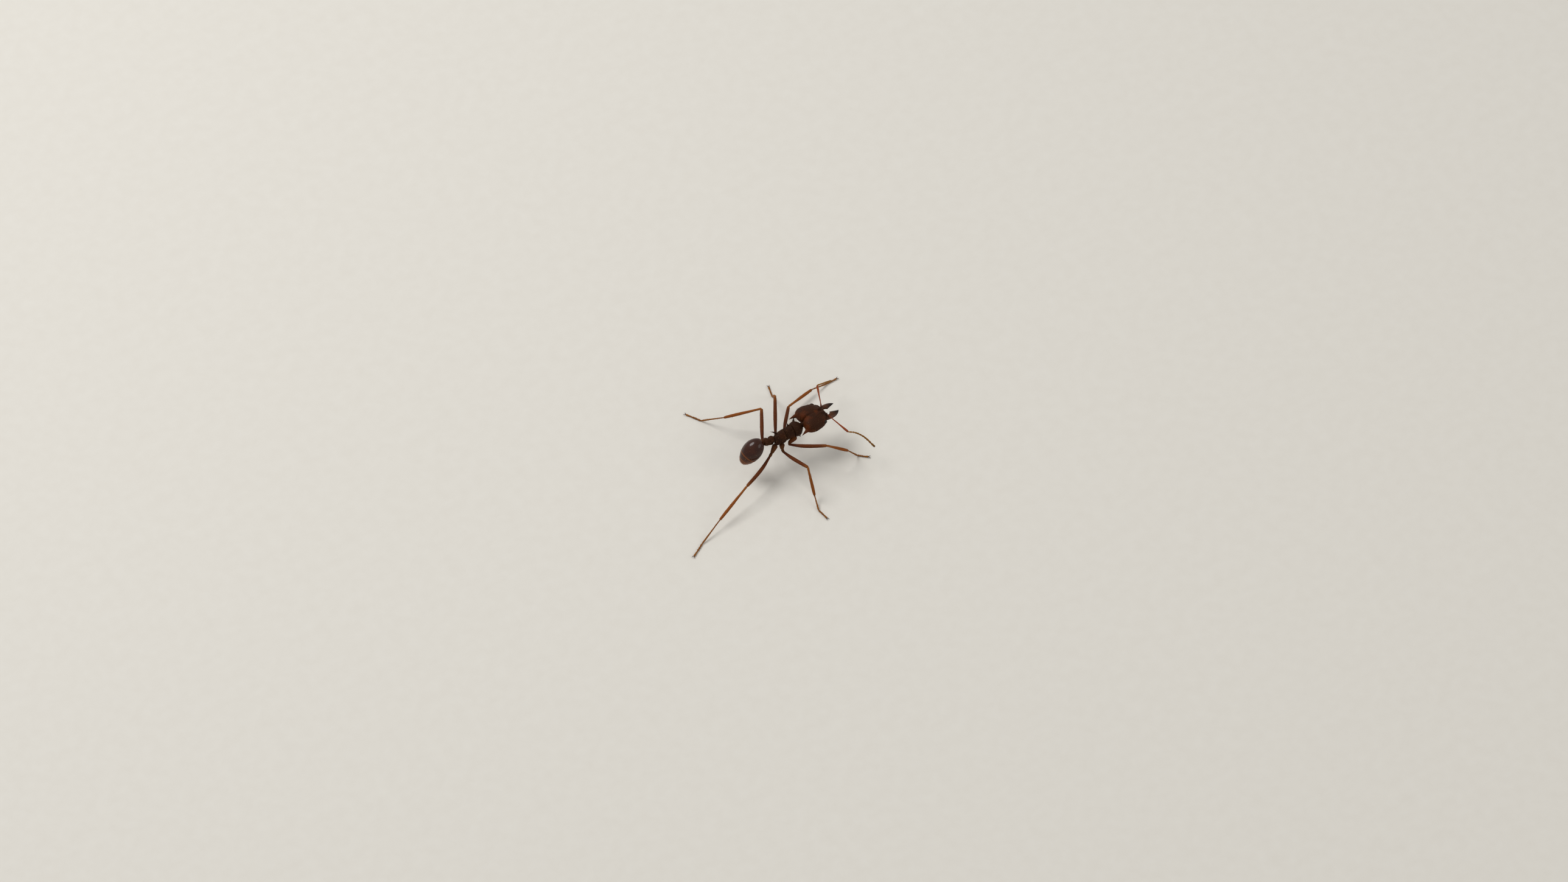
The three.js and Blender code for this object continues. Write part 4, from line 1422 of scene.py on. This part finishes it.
# %% Driving sizes of a bristle
BRISTLE_RADIUS = 0.0065
BRISTLE_RINGS = ((-0.06, 1.0), (0.35, 0.8), (0.72, 0.5))  # place along it, and thickness there
BRISTLE_SHORTEST, BRISTLE_LONGEST = 0.6, 1.15  # as shares of the length asked for
BRISTLE_SPREAD, BRISTLE_CURVE = 0.25, 0.3  # how untidily they lie, and how much they bend over
FLOOR_CLEARANCE = 0.002


# %% Grow bent three-sided spikes
def spikes(roots, outwards, ahead, length, lean, chance):
    """The corners of each spike, nine in three rings and a tip, and the faces of one spike."""
    count = len(roots)
    lie = ahead - outwards * (ahead * outwards).sum(axis=1, keepdims=True)
    lie /= np.linalg.norm(lie, axis=1, keepdims=True) + 1e-9
    lie = lie + chance.normal(0, BRISTLE_SPREAD, (count, 3))
    reach = length * chance.uniform(BRISTLE_SHORTEST, BRISTLE_LONGEST, (count, 1))
    rise = outwards * (1 - lean) + lie * lean
    rise /= np.linalg.norm(rise, axis=1, keepdims=True)
    side = np.cross(rise, outwards + 0.3 * lie)
    side /= np.linalg.norm(side, axis=1, keepdims=True) + 1e-9
    up = np.cross(side, rise)
    bent = lie * reach * BRISTLE_CURVE
    corners = []
    for share, thick in BRISTLE_RINGS:
        centre = roots + rise * reach * share + bent * max(share, 0) ** 2
        for k in range(3):
            angle = 2 * np.pi * k / 3
            around = np.cos(angle) * side + np.sin(angle) * up
            corners.append(centre + BRISTLE_RADIUS * thick * around)
    corners.append(roots + rise * reach + bent)
    corners = np.stack(corners, axis=1)
    corners[..., 2] = np.maximum(corners[..., 2], FLOOR_CLEARANCE)
    return corners, spike_faces()


def spike_faces():
    faces = []
    for start in (0, 3):
        for k in range(3):
            j = (k + 1) % 3
            faces.append((start + k, start + j, start + 3 + j, start + 3 + k))
    return faces + [(6 + k, 6 + (k + 1) % 3, 9) for k in range(3)] + [(2, 1, 0)]


# %% Where a bristle lies on its map
PATCH = 0.003  # the width of one bristle on the unrolled shell
ROW_MARGIN, MAP_MARGIN = 0.04, 0.01  # kept free beside each shell's strip, and round the whole map


def patch_corners():
    """The ten corners of one bristle on the map: three shrinking rings, and its tip in the middle."""
    angle = np.concatenate([2 * np.pi * np.arange(9) / 3, [0]])
    spread = np.array([1.0] * 3 + [0.66] * 3 + [0.33] * 3 + [0.0]) * PATCH / 2
    return np.stack([np.cos(angle) * spread, np.sin(angle) * spread], axis=1)


# %% A coat of bristles over a region
def coat(name, slot, shells, seed):
    """One mesh of bristles over several shells: (piece, path, count, length, lean) each."""
    chance = np.random.default_rng(seed)
    all_corners, all_places = [], []
    for row, (piece, path, count, length, lean) in enumerate(shells):
        roots, outwards = scatter(piece, count, chance)
        along, around, ahead = unrolled(path, roots, 80)
        strip = (row + ROW_MARGIN + (1 - 2 * ROW_MARGIN) * along) / len(shells)
        corners, faces = spikes(roots, outwards, ahead, length, lean, chance)
        all_corners.append(corners)
        all_places.append(np.stack([around, strip], axis=1) * (1 - 2 * MAP_MARGIN) + MAP_MARGIN)
    corners, places = np.concatenate(all_corners), np.concatenate(all_places)
    number = np.arange(len(corners))[:, None] * corners.shape[1]
    polygons = [tuple(ids) for face in faces for ids in (number + np.array(face)).tolist()]
    mesh = mesh_mm(name, [(corners.reshape(-1, 3), polygons)])
    write_map(mesh, "OFBake", (places[:, None] + patch_corners()[None]).reshape(-1, 2))
    print(f"{name}: {len(corners)} bristles, {len(polygons)} faces")
    return dress(name, mesh, BRISTLES, slot)


# %% [markdown]
# ## How many bristles, and where
# Each kind of shell has its own number, length and lean of bristles: sparse on the body, close on
# the feelers and the feet. A lean of 0 stands straight up and a lean of 1 lies flat. Each region
# has a seed of its own, so every run grows the same bristles.

# %% Driving sizes of the coats
COATS = {  # count on each shell, length and lean
    "head": (420, 0.08, 0.45),
    "thorax": (170, 0.1, 0.4),
    "waist": (50, 0.1, 0.4),
    "gaster": (90, 0.09, 0.6),
    "scape": (90, 0.06, 0.65),
    "feeler": (420, 0.05, 0.7),
}
LEG_COATS = {
    "coxa": (30, 0.09, 0.5),
    "trochanter": (12, 0.08, 0.5),
    "femur": (100, 0.08, 0.6),
    "tibia": (150, 0.09, 0.65),
    "foot": (260, 0.07, 0.65),
}
HEAD_SEED, THORAX_SEED, GASTER_SEED, FEELER_SEED, FIRST_LEG_SEED = 1, 2, 3, 4, 20

# %% Bristles of the body
HEAD_PATH = Path(on_head([(1.2, 0, 0), (0, 0, 0), (-1.2, 0, 0)]))
THORAX_PATH = Path([(THORAX_FRONT, 0, 3.04), (0, 0, 3.0), (THORAX_REAR, 0, 3.1)])
WAIST_PATH = Path([PETIOLE + (0.3, 0, 0), (PETIOLE + POSTPETIOLE) / 2, POSTPETIOLE - (0.3, 0, 0.1)])
GASTER_PATH = Path([GASTER_CENTRE + GASTER_AHEAD * GASTER_LENGTH / 2 * k for k in (-1, 0, 1)])

coat("bristles_head", "head_shell", [(head, HEAD_PATH, *COATS["head"])], HEAD_SEED)
plates = [(piece, THORAX_PATH, *COATS["thorax"]) for piece in (pronotum, mesonotum, propodeum)]
knots = [(piece, WAIST_PATH, *COATS["waist"]) for piece in waist]
coat("bristles_thorax", "thorax_shell", plates + knots, THORAX_SEED)
coat("bristles_gaster", "gaster", [(sheet, GASTER_PATH, *COATS["gaster"]) for sheet in gaster], GASTER_SEED)

# %% Bristles of feelers and legs
for name, (scape, lash) in FEELERS.items():
    shells = [(*scape, *COATS["scape"]), (*lash, *COATS["feeler"])]
    coat(f"bristles_feeler_{name}", "feeler", shells, FEELER_SEED + len(name))
for number, ((pair, name), parts) in enumerate(LEGS.items()):
    shells = [(*parts[part], *amount) for part, amount in LEG_COATS.items()]
    coat(f"bristles_leg_{pair}_{name}", "leg", shells, FIRST_LEG_SEED + number)

# %% [markdown]
# ## Floor, light and camera
# A museum would show the ant on a plain pale card under soft lamps. The card is a large flat
# disc. A big round lamp up on the left gives the soft highlight on the gaster, a weaker one fills
# the other side, and the world adds an even light. The camera looks down from the ant's
# right rear quarter through a long lens, which keeps near and far legs in proportion.

# %% Pale card
CARD_RADIUS = 0.7


def card():
    angle = np.linspace(0, 2 * np.pi, 96, endpoint=False)
    mesh = bpy.data.meshes.new("card")
    rim = [(CARD_RADIUS * np.cos(a), CARD_RADIUS * np.sin(a), 0.0) for a in angle]
    mesh.from_pydata(rim, [], [tuple(range(len(rim)))])
    piece = bpy.data.objects.new("card", mesh)
    bpy.context.scene.collection.objects.link(piece)
    material, shader, place = new_finish("card_paper", {"Roughness": 0.9, "Specular IOR Level": 0.2})
    fibre = noise(place, per_mm=0.9, detail=4.0)
    feed(shader, {"Base Color": blend(colour("dcd6cb"), colour("e2ddd3"), fibre)})
    mesh.materials.append(material)
    return piece


card()
print("a card", CARD_RADIUS * 2, "m across")


# %% Lamps
def lamp(name, away, size, power, tint):
    """A round lamp, away metres from the ant and aimed at it."""
    aim = Vector(ORIGIN * MM)
    light = bpy.data.lights.new(name, "AREA")
    light.shape = "DISK"
    light.size = size
    light.energy = power
    light.color = tint
    holder = bpy.data.objects.new(name, light)
    holder.location = aim + Vector(away)
    holder.rotation_euler = (aim - holder.location).to_track_quat("-Z", "Y").to_euler()
    bpy.context.scene.collection.objects.link(holder)


lamp("key_lamp", away=(-0.1, 0.2, 0.3), size=0.2, power=0.75, tint=(0.97, 0.98, 1.0))
lamp("fill_lamp", away=(0.2, -0.25, 0.22), size=0.24, power=0.22, tint=(1.0, 0.97, 0.93))
print("two lamps")

# %% World
WORLD_COLOUR, WORLD_STRENGTH = (0.96, 0.98, 1.0, 1.0), 0.5

world = bpy.data.worlds.new("studio")
bpy.context.scene.world = world
world.use_nodes = True
background = world.node_tree.nodes["Background"].inputs
background["Color"].default_value = WORLD_COLOUR
background["Strength"].default_value = WORLD_STRENGTH
print("a world of strength", WORLD_STRENGTH)

# %% Where the camera looks
VIEW_TURN = np.radians(31)  # how far the camera swings from the ant's right side towards its rear
VIEW_RISE = np.radians(53)  # how high it looks down from
VIEW_ROLL = np.radians(2.5)
VIEW_WIDTH = 132.1 * MM  # how much the view takes in, across the ant
VIEW_LENS, FILM_WIDTH = 200.0, 36.0
RIGHT_OF_ANT, ABOVE_ANT = -0.397 * MM, 1.123 * MM  # where the view's middle lies from the ant's origin

level_right = np.array([np.cos(VIEW_TURN), -np.sin(VIEW_TURN), 0.0])
level_ahead = np.array([np.sin(VIEW_TURN), np.cos(VIEW_TURN), 0.0])
ahead = level_ahead * np.cos(VIEW_RISE) - np.array([0, 0, np.sin(VIEW_RISE)])
above = level_ahead * np.sin(VIEW_RISE) + np.array([0, 0, np.cos(VIEW_RISE)])
right = level_right * np.cos(VIEW_ROLL) - above * np.sin(VIEW_ROLL)
above = level_right * np.sin(VIEW_ROLL) + above * np.cos(VIEW_ROLL)
target = ORIGIN * MM + right * RIGHT_OF_ANT + above * ABOVE_ANT
distance = VIEW_WIDTH * VIEW_LENS / FILM_WIDTH
print(f"the camera stands {distance / MM:.0f} mm from the ant")

# %% Camera
lens = bpy.data.cameras.new("camera")
lens.lens = VIEW_LENS
lens.sensor_width = FILM_WIDTH
lens.clip_start = 0.01
lens.clip_end = 10.0
camera = bpy.data.objects.new("camera", lens)
axes = Matrix((Vector(right), Vector(above), Vector(-ahead))).transposed().to_4x4()
camera.matrix_world = Matrix.Translation(Vector(target - ahead * distance)) @ axes
bpy.context.scene.collection.objects.link(camera)
bpy.context.scene.camera = camera
bpy.context.scene.view_settings.view_transform = "Standard"
